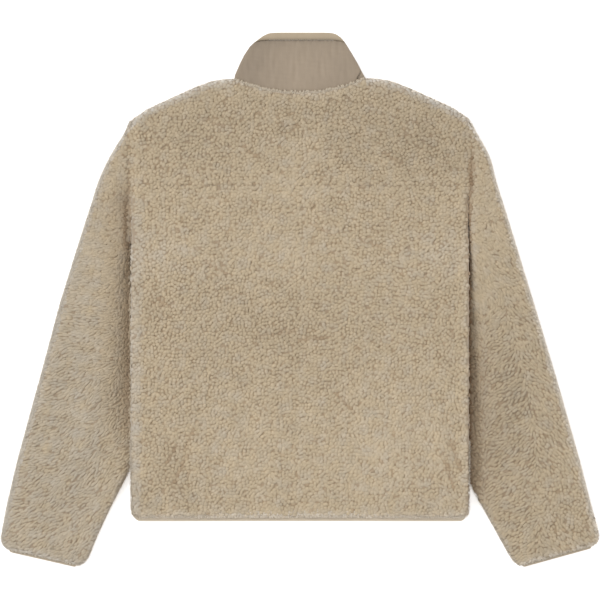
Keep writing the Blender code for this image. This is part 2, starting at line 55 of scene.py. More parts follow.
MM = 0.001
SEAM_GAP = 0.3  # between pieces that touch
FLEECE = 9.5  # the knit with its whole pile
HALF_WIDTH = 271.0
HEM_Y = -347.5
HEM_BOTTOM_Y = -353.6
HEM_CORNER = (12.0, 24.0)  # how far its rounding reaches, across and up
YOKE_SEAM_Y = 184.0
UNDERARM_Y = 15.0
NECK_HALF_WIDTH = 105.0
NECK_POINT_Y = 354.255
BACK_NECK_DROP = 21.8
FRONT_NECK_DROP = 65.0
SHOULDER_Y = 355.5
SHOULDER_SLOPE = 0.234
SHOULDER_BEND_X = 140.0
SHOULDER_TIP = {"x": 240.0, "width": 31.0, "fall": 5.0}
ASKEW = 0.005  # how far the shoulders slant, because the garment doesn't lie quite straight
SLEEVE_LIFT = 17.0  # how far the sleeves raise the body's sides
PILE_ROUND = 12.0  # how far in from an edge the pile rounds away
BODY_FOLDS = (
    # soft hollows and swells: the ends of each one's middle line, its reach and its height
    {"start": (-186, -215), "end": (-222, -322), "half_width": 26, "height": -2.2},
    {"start": (-150, -205), "end": (-172, -300), "half_width": 24, "height": 1.0},
    {"start": (-12, -125), "end": (-3, -330), "half_width": 22, "height": -1.4},
    {"start": (97, -236), "end": (116, -325), "half_width": 24, "height": -1.3},
    {"start": (192, -140), "end": (220, -212), "half_width": 22, "height": 1.4},
    {"start": (-24, 50), "end": (2, -66), "half_width": 52, "height": -1.4},
    {"start": (-60, 150), "end": (35, 150), "half_width": 46, "height": 1.2},
    {"start": (-78, 205), "end": (40, 225), "half_width": 40, "height": 1.0},
    {"start": (175, 205), "end": (250, 225), "half_width": 44, "height": -1.4},
    {"start": (-250, 20), "end": (-196, 6), "half_width": 26, "height": -1.0},
)


def smooth(t):
    """0 below 0, 1 above 1, and an S-shaped curve between them."""
    t = np.clip(t, 0.0, 1.0)
    return t * t * (3.0 - 2.0 * t)


def bell(distance, reach):
    """1 where the distance is 0, falling off to both sides."""
    return np.exp(-((distance / reach) ** 2))


def from_line(x, y, line):
    """Distance from a line, which is given as the x and y of its two ends."""
    start, along = np.array(line[:2], float), np.subtract(line[2:], line[:2]).astype(float)
    share = ((x - start[0]) * along[0] + (y - start[1]) * along[1]) / (along @ along)
    share = np.clip(share, 0.0, 1.0)
    return np.hypot(x - start[0] - share * along[0], y - start[1] - share * along[1])


def edge_share(distance, face, reach=PILE_ROUND):
    """Share of the full thickness at a distance from an edge, where the face has its own share."""
    t = 1.0 - np.clip(distance / reach, 0.0, 1.0)
    return face + (1.0 - face) * np.sqrt(1.0 - t * t)


def middle(x, y):
    """Height of the plane between the front and the back, which the sleeves raise."""
    across = smooth((np.abs(x) - 75.0) / 145.0)
    below_arm = smooth((125.0 - y) / 103.0)
    above_hem = smooth((y + 384.0) / 100.0)
    return FLEECE + SEAM_GAP / 2 + SLEEVE_LIFT * across * below_arm * above_hem


def fold_height(x, y, folds):
    """Sum of the soft folds at a point."""
    total = np.zeros(np.broadcast(x, y).shape)
    for fold in folds:
        distance = from_line(x, y, (*fold["start"], *fold["end"]))
        total = total + fold["height"] * smooth(1.0 - distance / (1.6 * fold["half_width"]))
    return total


def half_width(y):
    """Half the body's width at a height, with the rounded hem corner."""
    t = np.clip((HEM_BOTTOM_Y + HEM_CORNER[1] - y) / HEM_CORNER[1], 0.0, 1.0)
    return HALF_WIDTH - HEM_CORNER[0] * (1.0 - np.sqrt(1.0 - t * t))


def top_edge(x, neck_drop):
    """Y of the body's top edge: the neckline, then the shoulder."""
    out = np.abs(x)
    past_bend = out - SHOULDER_BEND_X
    shoulder = SHOULDER_Y - SHOULDER_SLOPE * (past_bend + np.hypot(past_bend, 20.0))
    past_tip = smooth((out - SHOULDER_TIP["x"]) / SHOULDER_TIP["width"])
    shoulder = shoulder - SHOULDER_TIP["fall"] * past_tip
    neck = NECK_POINT_Y - neck_drop * (1.0 - np.clip(out / NECK_HALF_WIDTH, 0, 1) ** 2.2)
    return np.where(out < NECK_HALF_WIDTH, neck, shoulder) + ASKEW * x


def drift(x, y, reach, seed):
    """Slow random change over a surface, about as far as reach from one swell to the next."""
    rng = np.random.default_rng(seed)
    total = 0.0
    for turn in rng.uniform(0.0, math.tau, 7):
        pace = math.tau / (reach * rng.uniform(0.7, 1.5))
        total = total + np.sin(pace * (x * math.cos(turn) + y * math.sin(turn)) + rng.uniform(0, 7))
    return total / math.sqrt(7.0)


def distances(line):
    """How far each point of a line is from its start, along it."""
    steps = np.linalg.norm(np.diff(line, axis=0), axis=1)
    return np.concatenate([[0.0], np.cumsum(steps)])


def mirrored(side, between):
    """Values for the right side, mirrored to the left, with the values between them."""
    return np.concatenate([-side, between, side[::-1]])


def unit(vectors):
    """The same directions, each of length 1."""
    return vectors / (np.linalg.norm(vectors, axis=-1, keepdims=True) + 1e-9)


def tilted(normal):
    """How far a surface tilts away, from 0 where it lies flat to 1."""
    return smooth((0.96 - np.abs(normal[..., 2])) / 0.45)


# Where curls stand: first in rows, with shares of the room that each has, and then spread.
FIRST_ROWS = {"pitch": 0.93, "slant": 0.7, "stray": 0.4, "stray_aside": 0.3}
SPREAD_ROUNDS = 3
NEIGHBOURS = 8  # that each keeps away from, itself among them
# How strongly the pile lies off an edge and down the cloth, beside its own way.
COMBED_OFF = 1.6
DOWN_THE_CLOTH = 0.15


class Cloth:
    """A smooth surface through a grid of points. Places on it are rows and columns, with parts."""

    def __init__(self, points, outward=1.0):
        self.points = points
        self.rows, self.columns = points.shape[:2]
        self.across = np.gradient(points, axis=1)
        self.along = np.gradient(points, axis=0)
        self.outward = outward
        self.normal = unit(outward * np.cross(self.across, self.along))

    def at(self, field, row, column):
        """A field's value at places between the grid's points, or a little past its edges."""
        r = np.clip(np.floor(row).astype(int), 0, self.rows - 2)
        c = np.clip(np.floor(column).astype(int), 0, self.columns - 2)
        fr, fc = (row - r)[..., None], (column - c)[..., None]
        near = field[r, c] * (1.0 - fc) + field[r, c + 1] * fc
        far = field[r + 1, c] * (1.0 - fc) + field[r + 1, c + 1] * fc
        return near * (1.0 - fr) + far * fr

    def heading(self, row, column, turn):
        """Unit vectors for the pile at places: outward, ahead and aside. Ahead points as turn
        does, seen from above, but where the surface tilts away the pile is combed off it. The
        last value is how far it tilts, from 0 to 1."""
        outward = unit(self.at(self.normal, row, column))
        ahead = np.stack([np.cos(turn), np.sin(turn), 0.0 * turn], axis=1)
        rim = tilted(outward)
        off = unit(outward * (1.0, 1.0, 0.0))
        same = np.where((off * ahead).sum(1) < 0.0, -1.0, 1.0)[:, None]
        ahead = ahead + COMBED_OFF * rim[:, None] * same * off
        ahead = ahead - outward * (ahead * outward).sum(1)[:, None]
        ahead = unit(ahead + DOWN_THE_CLOTH * unit(self.at(self.along, row, column)))
        return outward, ahead, np.cross(outward, ahead), rim

    def scatter(self, apart, way, rng):
        """Places that lie evenly but in no pattern. apart is how far they keep from each other,
        along the way of the pile and across it. They are first laid out in rows of equal steps,
        with fewer where the cloth's own rows run together, and then spread."""
        stray, stray_aside = FIRST_ROWS["stray"], FIRST_ROWS["stray_aside"]
        pitch = FIRST_ROWS["pitch"] * math.sqrt(apart[0] * apart[1])
        spacing = np.linalg.norm(self.along, axis=2)
        widest = spacing.max(axis=1)
        travelled = np.concatenate([[0.0], np.cumsum(0.5 * (widest[1:] + widest[:-1]))])
        picked = []
        for distance in np.arange(0.5 * pitch, travelled[-1], pitch):
            row = float(np.interp(distance, travelled, np.arange(self.rows)))
            line = self.at(self.points, np.full(self.columns, row), np.arange(self.columns) * 1.0)
            reached = distances(line)
            wanted = np.arange(rng.uniform(0.0, pitch), reached[-1], pitch)
            wanted = wanted + rng.uniform(-stray, stray, len(wanted)) * pitch
            column = np.interp(wanted, reached, np.arange(self.columns))
            gap = self.at(spacing[..., None], np.full(len(wanted), row), column)[:, 0]
            slanted = (FIRST_ROWS["slant"] * wanted / pitch) % 1.0 - 0.5
            slanted = slanted + rng.uniform(-stray_aside, stray_aside, len(wanted))
            spot = row + slanted * pitch / np.maximum(gap, 0.2)
            wide = np.interp(row, range(self.rows), widest)
            kept = rng.uniform(0.0, 1.0, len(wanted)) < gap / wide
            picked.append(np.stack([spot, column], axis=1)[kept])
        row, column = np.concatenate(picked).T
        for _ in range(SPREAD_ROUNDS):
            row, column = self.spread(row, column, apart, way)
        inside = np.abs(row / (self.rows - 1.0) - 0.5) < 0.5
        inside &= np.abs(column / (self.columns - 1.0) - 0.5) < 0.5
        return row[inside], column[inside]

    def spread(self, row, column, apart, way):
        """Moves each place off the others that are too near."""
        row, column = np.clip(row, 0.0, self.rows - 1.0), np.clip(column, 0.0, self.columns - 1.0)
        place = self.at(self.points, row, column)
        ahead, aside = self.heading(row, column, way(place[:, 0], place[:, 1]))[1:3]
        tree = kdtree.KDTree(len(place))
        for index, point in enumerate(place.tolist()):
            tree.insert(point, index)
        tree.balance()
        nearest = [tree.find_n(point, NEIGHBOURS) for point in place.tolist()]
        near = np.array([[found[1] for found in group] for group in nearest])
        offset = place[:, None] - place[near]
        u = (offset * ahead[:, None]).sum(2) / apart[0]
        v = (offset * aside[:, None]).sum(2) / apart[1]
        distance = np.hypot(u, v) + 1e-6
        push = 0.5 * np.clip(1.0 - distance, 0.0, None) / distance
        forth, sideways = (u * push).sum(1) * apart[0], (v * push).sum(1) * apart[1]
        move = ahead * forth[:, None] + aside * sideways[:, None]
        columns, rows = self.steps(row, column, move)
        return row + rows, column + columns

    def steps(self, row, column, vector):
        """The columns and rows that a move along the surface crosses."""
        a, b = self.at(self.across, row, column), self.at(self.along, row, column)
        aa, ab, bb = (a * a).sum(-1) + 0.05, (a * b).sum(-1), (b * b).sum(-1) + 0.05
        av, bv = (a * vector).sum(-1), (b * vector).sum(-1)
        room = aa * bb - ab * ab
        return (bb * av - ab * bv) / room, (aa * bv - ab * av) / room


def new_object(name, points, faces, atlas, marks, finish):
    """A piece from points in millimetres, with marks on them, in one of the garment's finishes.
    The atlas is a flat map for baking, with a place for each point or each corner of a face."""
    mesh = bpy.data.meshes.new(name)
    mesh.from_pydata((points * MM).tolist(), [], faces)
    layer = mesh.uv_layers.new(name="OFBake")
    corners = np.empty(len(mesh.loops), dtype=np.int32)
    mesh.loops.foreach_get("vertex_index", corners)
    places = atlas if len(atlas) == len(corners) else atlas[corners]
    layer.data.foreach_set("uv", places.astype(np.float32).ravel())
    for mark, values in marks.items():
        mesh.attributes.new(mark, "FLOAT", "POINT").data.foreach_set("value", values)
    mesh.materials.append(finish.material)
    mesh.shade_smooth()
    made = bpy.data.objects.new(name, mesh)
    bpy.context.scene.collection.objects.link(made)
    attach(made, "root")
    return made


# ------------------------------------------------------------------ fleece: finish
# Sherpa fleece is a knit with a deep pile of polyester fibres, tumbled into short curls.
# The tips are pale, and the gaps between the curls are coloured browner and darker, as painted
# shade deep in the pile.


class Value:
    """A socket's value. Python's sums, differences and products of it become Math nodes."""

    def __init__(self, finish, socket):
        self.finish, self.socket = finish, socket

    def maths(self, operation, *terms):
        """The value that a Math node gives for the terms."""
        return self.finish.node("ShaderNodeMath", {"operation": operation}, dict(enumerate(terms)))

    def __add__(self, other):
        return self.maths("ADD", self, other)

    __radd__ = __add__

    def __sub__(self, other):
        return self.maths("SUBTRACT", self, other)

    def __rsub__(self, other):
        return self.maths("SUBTRACT", other, self)

    def __mul__(self, other):
        return self.maths("MULTIPLY", self, other)

    __rmul__ = __mul__


class Finish:
    """A material whose nodes are made from Python, round one Principled shader. slot says which
    of the garment's materials it is."""

    def __init__(self, name, slot, **constants):
        self.slot = slot
        self.material = bpy.data.materials.new(name)
        self.material.use_nodes = True
        self.tree = self.material.node_tree
        self.shader = self.tree.nodes["Principled BSDF"]
        for socket, value in constants.items():
            self.shader.inputs[socket.replace("_", " ")].default_value = value

    def node(self, kind, settings, inputs, output=0):
        """A node of a kind, with its settings, and the values or links of its sockets."""
        made = self.tree.nodes.new(kind)
        for name, value in settings.items():
            setattr(made, name, value)
        for name, value in inputs.items():
            self.feed(made.inputs[name], value)
        return Value(self, made.outputs[output])

    def feed(self, socket, value):
        """Links a value to a socket, or sets a constant on it."""
        if isinstance(value, Value):
            self.tree.links.new(value.socket, socket)
        else:
            socket.default_value = value

    def mix(self, factor, a, b, blend="MIX"):
        """A mix of two colours. Sockets 6 and 7 are the colours of the Mix node."""
        settings = {"data_type": "RGBA", "blend_type": blend, "clamp_factor": True}
        return self.node("ShaderNodeMix", settings, {0: factor, 6: a, 7: b}, output=2)

    def tinted(self, colour, tone):
        """A colour that a value makes lighter or darker."""
        grey = self.node("ShaderNodeCombineColor", {}, {0: tone, 1: tone, 2: tone})
        return self.mix(1.0, colour, grey, "MULTIPLY")

    def mark(self, name):
        """The value of a mark that the mesh carries on its points."""
        return self.node("ShaderNodeAttribute", {"attribute_name": name}, {}, output=2)

    def place(self):
        """The place on the piece, in metres, as one vector."""
        return self.node("ShaderNodeTexCoord", {}, {}, output=3)

    def axes(self):
        """The same place as three values."""
        return [self.node("ShaderNodeSeparateXYZ", {}, {0: self.place()}, k) for k in range(3)]

    def vector(self, x, y, z):
        """Three values as one vector."""
        return self.node("ShaderNodeCombineXYZ", {}, {0: x, 1: y, 2: z})

    def noise(self, scale, detail=2.0, vector=None):
        """Soft noise round 0.5, at the place or at another vector."""
        inputs = {"Vector": vector or self.place(), "Scale": scale, "Detail": detail}
        return self.node("ShaderNodeTexNoise", {}, inputs)

    def show(self, **links):
        """Feeds the shader's sockets."""
        for socket, value in links.items():
            self.feed(self.shader.inputs[socket.replace("_", " ")], value)

    def bump(self, height, distance, strength):
        """Relief that the light shows. distance is its height in metres."""
        inputs = {"Height": height, "Distance": distance, "Strength": strength}
        self.show(Normal=self.node("ShaderNodeBump", {}, inputs))


def rgb(red, green, blue):
    """A colour as a socket takes it."""
    return (red, green, blue, 1.0)


FLEECE_GAP = rgb(0.26, 0.157, 0.084)
FLEECE_TIP = rgb(0.493, 0.399, 0.274)
FLEECE_TIP_COOL = rgb(0.474, 0.436, 0.380)
STRANDS = {"along": 0.22, "across": 1.9, "apart": 60.0}  # how fine, and how unlike on each curl
STRAND_RELIEF = 0.0009

fleece = Finish(
    "sherpa_fleece",
    "fleece",
    Roughness=0.95,
    Specular_IOR_Level=0.15,
    Sheen_Weight=0.3,
    Sheen_Roughness=0.45,
    Sheen_Tint=rgb(1.0, 0.95, 0.87),
)
lock = fleece.mark("lock")
strand_place = fleece.vector(
    fleece.mark("run") * STRANDS["along"],
    fleece.mark("side") * STRANDS["across"],
    lock * STRANDS["apart"],
)
strand = fleece.noise(1.0, 2.0, strand_place)
tone = 0.846 + lock * 0.11 + fleece.mark("nap_and_light") + (strand - 0.5) * 0.33
tip_colour = fleece.mix(fleece.mark("cool"), FLEECE_TIP, FLEECE_TIP_COOL)
curl_colour = fleece.mix(fleece.mark("pile"), FLEECE_GAP, tip_colour)
fleece.show(Base_Color=fleece.tinted(curl_colour, tone))
fleece.bump(strand, STRAND_RELIEF, 0.8)


# ------------------------------------------------------------------ fleece: wear, painted light and shade
# The pile isn't alike all over: it is brushed flat in patches, coloured paler or darker in others,
# and it parts along a few lines. It is also painted paler and cooler at the rims, where light comes
# through its tips, as painted rim light; paler along the hem and the body's right edge, as painted
# light; and darker and browner in the valleys and the gap beside the sleeves, as painted shade.

ARMHOLE_OPEN_Y = {"left": 95.0, "right": 172.0}  # below it, an armhole shows as a line
# The body's right edge gets a painted highlight, where the pile turns over it.
RIGHT_EDGE_X = 260.0  # where the pile turns over the body's right edge
RIGHT_GAP_X = 271.5  # the gap beside the right sleeve
LEFT_EDGE_X = -264.0
PATCHES = (
    # place and reach in mm, how much lighter the pile looks there, and how far it is brushed flat
    {"at": (0, 300), "reach": (300, 85), "shade": -0.07, "brushed": -0.05},
    {"at": (-380, -150), "reach": (85, 260), "shade": -0.06, "brushed": 0.1},
    {"at": (345, -160), "reach": (60, 200), "shade": -0.06, "brushed": -0.15},
    {"at": (310, 80), "reach": (60, 120), "shade": -0.01, "brushed": -0.35},
    {"at": (0, -250), "reach": (260, 120), "shade": 0.045, "brushed": 0.25},
    {"at": (201, 247), "reach": (72, 60), "shade": -0.085, "brushed": -0.3},
    {"at": (-175, 255), "reach": (70, 55), "shade": -0.045, "brushed": -0.3},
    {"at": (80, 265), "reach": (50, 50), "shade": -0.03, "brushed": 0.0},
    {"at": (-2, 226), "reach": (42, 45), "shade": 0.04, "brushed": 0.45},
    {"at": (-10, 172), "reach": (90, 13), "shade": 0.04, "brushed": 0.2},
    {"at": (-31, 82), "reach": (78, 42), "shade": 0.035, "brushed": 0.7},
    {"at": (-23, -41), "reach": (60, 55), "shade": -0.045, "brushed": -0.3},
    {"at": (121, -33), "reach": (50, 50), "shade": -0.03, "brushed": 0.0},
    {"at": (-215, -20), "reach": (35, 45), "shade": -0.02, "brushed": -0.5},
    {"at": (-111, -241), "reach": (50, 75), "shade": 0.03, "brushed": 0.2},
    {"at": (113, -241), "reach": (60, 75), "shade": 0.03, "brushed": 0.4},
    {"at": (218, -215), "reach": (22, 80), "shade": 0.045, "brushed": 0.35},
    {"at": (-204, -265), "reach": (30, 50), "shade": -0.055, "brushed": -0.5},
    {"at": (-7, -225), "reach": (14, 65), "shade": -0.03, "brushed": 0.1},
    # painted shade in the hollow at the top of the left armhole
    {"at": (-285, 160), "reach": (13, 16), "shade": -0.09, "brushed": 0.0},
    {"at": (233, 135), "reach": (26, 22), "shade": 0.03, "brushed": 0.2},
    {"at": (313, 55), "reach": (18, 55), "shade": 0.035, "brushed": 0.2},
    {"at": (335, -165), "reach": (36, 90), "shade": -0.05, "brushed": 0.1},
    {"at": (-415, -321), "reach": (40, 45), "shade": -0.035, "brushed": 0.0},
    {"at": (-343, -193), "reach": (30, 70), "shade": 0.02, "brushed": 0.3},
)
PARTINGS = (
    # lines along which the pile parts: x and y at the two ends, in mm
    (-70, -58, -8, -50), (-2, -64, 46, -60), (-150, 60, -118, 42), (96, 96, 138, 80),
    (-196, -232, -214, -262), (-182, -250, -200, -292), (-168, -206, -186, -240),
    (58, -150, 84, -176), (228, -244, 246, -300), (240, -226, 256, -272), (-92, 248, -66, 226),
    (-150, 290, -122, 276), (132, 236, 160, 218), (-228, 4, -206, -12), (24, 118, 52, 104),
)


def over_patches(x, y, key):
    """Sum of what the patches say at a point."""
    total = 0.0
    for patch in PATCHES:
        across = (x - patch["at"][0]) / patch["reach"][0]
        along = (y - patch["at"][1]) / patch["reach"][1]
        total = total + patch[key] * np.exp(-across * across - along * along)
    return total


def nap_and_light(x, y):
    """How much lighter or darker the pile is coloured: the patches and a slow drift, with painted
    light along the hem and the body's right edge, and painted shade in the gap beside the right
    sleeve.
    """
    # Painted light along the hem, whose rounded edge faces down, away from the light; a painted
    # highlight along the body's right edge; and painted shade in the gap beside the right sleeve.
    hem = 0.12 * bell(y - HEM_Y, 7.0) * (np.abs(x) < HALF_WIDTH)
    right_edge_light = 0.07 * bell(x - RIGHT_EDGE_X, 9.0) * smooth((140.0 - y) / 60.0) * (x < 267.0)
    gap = (0.05 + 0.2 * smooth((-60.0 - y) / 140.0)) * in_gap(x, y)
    slow = 0.014 * drift(x, y, 60.0, 11) + 0.008 * drift(x, y, 25.0, 12)
    return over_patches(x, y, "shade") + slow + hem + (right_edge_light - gap)


def in_gap(x, y):
    """1 in the gap between the body and the right sleeve, where hardly any light falls. The pile
    there is painted darker and browner, as painted shade.
    """
    part_way_up = 0.4 * smooth((235.0 - y) / 20.0) + 0.6 * smooth((90.0 - y) / 50.0)
    return bell(x - RIGHT_GAP_X, 3.0) * part_way_up


def cooled(x, y):
    """How much cooler the pile looks on the left sleeve, along the body's left edge and at the
    shoulders."""
    sleeve = 0.24 * smooth((-292.0 - x) / 50.0)
    edge = 0.34 * bell(x - LEFT_EDGE_X, 11.0) * smooth((190.0 - y) / 60.0)
    from_top = top_edge(x, BACK_NECK_DROP) - y
    at_shoulder = (np.abs(x) > NECK_HALF_WIDTH) & (np.abs(x) < HALF_WIDTH)
    top = 0.36 * smooth((18.0 - from_top) / 9.0) * at_shoulder
    return sleeve + edge + top + 0.13 * drift(x, y, 24.0, 61)


def brushed(x, y):
    """How far the curls are brushed open and flat, from 0 to 1."""
    return 0.8 * smooth(0.32 + over_patches(x, y, "brushed") + 0.2 * drift(x, y, 38.0, 13))


def parted(x, y):
    """1 in the middle of a parting in the pile, and 0 away from all of them."""
    nearest = np.min([from_line(x, y, line) for line in PARTINGS], axis=0)
    long_ones = bell(nearest, 2.6)
    short_ones = bell(drift(x, y, 30.0, 31), 0.1) * smooth(drift(x, y, 18.0, 32))
    return np.maximum(long_ones, 0.8 * short_ones)


def open_below(x):
    """Below which y the armhole shows as a line, on the side that x is on."""
    return np.where(x < 0.0, ARMHOLE_OPEN_Y["left"], ARMHOLE_OPEN_Y["right"])


def painted_rim_light(points, outward):
    """Painted rim light: how much paler and cooler the pile is coloured where it rounds away, for the
    light that comes through its tips: most of all at the top, and little on the sides that face each
    other and at the armholes, which lie in shade."""
    tilt = np.hypot(outward[..., 0], outward[..., 1])
    right, up = outward[..., 0] / (tilt + 1e-6), outward[..., 1] / (tilt + 1e-6)
    gain = 0.42 + 0.2 * right + 0.25 * up + 0.4 * smooth(-up - 0.5)
    x, y = points[..., 0], points[..., 1]
    inward = 0.6 * smooth(-4.0 * right * np.sign(x))
    at_side = (np.abs(np.abs(x) - 267.0) < 13.0) & (y < 265.0)
    shaded = (x < -250.0) | (y > open_below(x))
    inward = np.maximum(inward, 0.65 * (at_side & shaded))
    lit = smooth((outward[..., 2] + 0.25) / 0.5)
    paler = gain * (1.0 - inward) * tilt**2.0 * lit
    cooler = (1.0 - 0.6 * inward) * tilt**1.4 * (0.75 + 0.9 * np.maximum(up, 0.0)) * lit
    return paler, cooler


# ------------------------------------------------------------------ fleece: backing and pile
# Each cut piece is a knit backing with its pile. The backing is a shell a little inside the
# outer face of the fleece, and the pile is curls that stand on it and lie over each other.

PILE = 2.0  # how far the backing's shell lies inside the tips of the pile
TIP_SUNK = 0.6  # how far a curl's two ends run into the backing
LEAN = 0.2  # of a curl's top to its side, as a share of half its width
VARIED = {"length": (0.7, 1.3), "width": (0.8, 1.2), "height": (0.75, 1.15)}  # of its kind's
TUFT = {"apart": 1.7, "width": 0.42, "height": 1.1, "root": 0.35, "arch": 0.7, "droop": 1.6}


def backing(name, cloth, left_out=None):
    """The shell under the pile, a little uneven. left_out marks the faces that it hasn't got."""
    points = cloth.points + cloth.normal * (0.5 * drift(*cloth.points.T[:2], 11.0, 5).T)[..., None]
    number = np.arange(cloth.rows * cloth.columns).reshape(cloth.rows, cloth.columns)
    near, far = number[:-1], number[1:]
    faces = np.stack([near[:, :-1], near[:, 1:], far[:, 1:], far[:, :-1]], axis=2)
    if left_out is not None:
        faces = faces[~left_out]
    faces = faces.reshape(-1, 4)[:, :: int(cloth.outward)].tolist()
    flat = points.reshape(-1, 3)
    row, column = np.meshgrid(np.arange(cloth.rows), np.arange(cloth.columns), indexing="ij")
    atlas = np.stack([column / cloth.columns, row / cloth.rows], axis=2).reshape(-1, 2)
    paler, cooler = painted_rim_light(flat, cloth.normal.reshape(-1, 3))
    rim = tilted(cloth.normal.reshape(-1, 3))
    # The backing is painted browner in the gap beside the right sleeve, as painted shade, and paler
    # and cooler at the rims, as painted rim light.
    marks = {
        "pile": (0.62 + 0.3 * rim) * (1.0 - 0.7 * in_gap(flat[:, 0], flat[:, 1])),
        "lock": np.full(len(flat), 0.4),
        "nap_and_light": nap_and_light(flat[:, 0], flat[:, 1]) + paler,
        "cool": np.clip(0.1 + cooler + cooled(flat[:, 0], flat[:, 1]), 0.0, 1.0),
        "run": np.hypot(flat[:, 0], flat[:, 2]),
        "side": flat[:, 1].copy(),
    }
    return new_object(name, flat, faces, atlas, marks, fleece)


def pile(name, cloth, kind, keep=None):
    """Curls on a cloth: each a bent ridge, whose sides run down into the backing. A kind gives
    their size in mm, how they bend and stray, the way they point, how deep the gaps' painted shade
    is (root), how cool the tips look, and how much larger and fewer they are below (under). A
    valley says where they lie deep, and with it comes how much darker and browner they are painted
    there, as painted shade."""
    rng = np.random.default_rng(kind["seed"])
    row, column = cloth.scatter(kind["apart"], kind["way"], rng)
    centre = cloth.at(cloth.points, row, column)
    outward = unit(cloth.at(cloth.normal, row, column))
    under = smooth((-outward[:, 2] - 0.2) / 0.3) * (kind["under"] - 1.0) + 1.0
    kept = rng.uniform(0.0, 1.0, len(row)) < under**-2.0
    if keep is not None:
        kept &= keep(centre, outward)
    row, column, centre, under = (a[kept] for a in (row, column, centre, under))
    count = len(row)
    x, y = centre[:, 0], centre[:, 1]
    depth = kind["valley"](centre) if "valley" in kind else np.zeros(count)
    turn = kind["way"](x, y) + rng.normal(0.0, 1.0, count) * (kind["stray"] + 0.7 * depth)
    outward, ahead, aside, rim = cloth.heading(row, column, turn)
    flat, parting = brushed(x, y), parted(x, y)
    paler, cooler = painted_rim_light(centre, outward)

    # Brushed flat, a curl is longer and lower. It is lower in a parting, and shorter in a valley.
    length = kind["length"] * rng.uniform(*VARIED["length"], count) * under * (1.0 + 0.25 * flat)
    length = length * (1.0 - 0.4 * depth)
    width = kind["width"] * rng.uniform(*VARIED["width"], count) * under
    height = kind["height"] * rng.uniform(*VARIED["height"], count) * (1.0 - 0.3 * flat)
    height = height * (1.0 - 0.35 * parting)
    bend = kind["bend"] * rng.uniform(-1.0, 1.0, count) * (1.0 - 0.6 * rim)

    # Each follows the cloth along a bow, which is laid out in rows and columns.
    t = np.linspace(-0.5, 0.5, len(kind["section"]) + 2)
    forth_column, forth_row = cloth.steps(row, column, ahead)
    side_column, side_row = cloth.steps(row, column, aside)
    lengthwise = length[:, None] * t
    sideways = (bend * length)[:, None] * (t * t - 0.1)
    rows = row[:, None] + forth_row[:, None] * lengthwise + side_row[:, None] * sideways
    columns = column[:, None] + forth_column[:, None] * lengthwise
    columns = columns + side_column[:, None] * sideways
    spine = cloth.at(cloth.points, rows, columns)
    normal = unit(cloth.at(cloth.normal, rows, columns))

    # Pile and root are 1 where the fleece is coloured as its tips are, and 0 where as its gaps are.
    # In the gap beside the right sleeve the curls are painted browner, as painted shade, and at the
    # rims they take the painted rim light.
    marks = {
        "pile": (1.0 - 0.45 * parting) * (1.0 - 0.8 * in_gap(x, y)),
        "root": kind["root"] + (0.45 - 0.4 * kind["root"]) * flat * (1.0 - parting) + 0.3 * rim,
        "lock": rng.uniform(0.0, 1.0, count),
        "nap_and_light": nap_and_light(x, y) + paler,
        "cool": np.clip(kind["cool"] + 0.16 * flat + cooler + cooled(x, y), 0.0, 1.0),
    }
    # In the valley beside the body the curls are painted darker and browner, as painted shade.
    if "valley" in kind:
        dimmer, browner = kind["valley_shade"]
        marks["nap_and_light"] = marks["nap_and_light"] - dimmer * depth
        marks["pile"] = marks["pile"] * (1.0 - browner * depth)
        marks["root"] = marks["root"] * (1.0 - depth)
        marks["cool"] = marks["cool"] * (1.0 - depth)
    return ridges(name, spine, normal, width, height, kind, marks, rng)


RIDGE_SECTION = (
    # share of the width to the side, mm above the backing, and share of the height
    (1.0, -0.7, 0.0),
    (0.6, 0.0, 0.93),
    (-0.6, 0.0, 1.0),
    (-1.0, -0.7, 0.0),
)


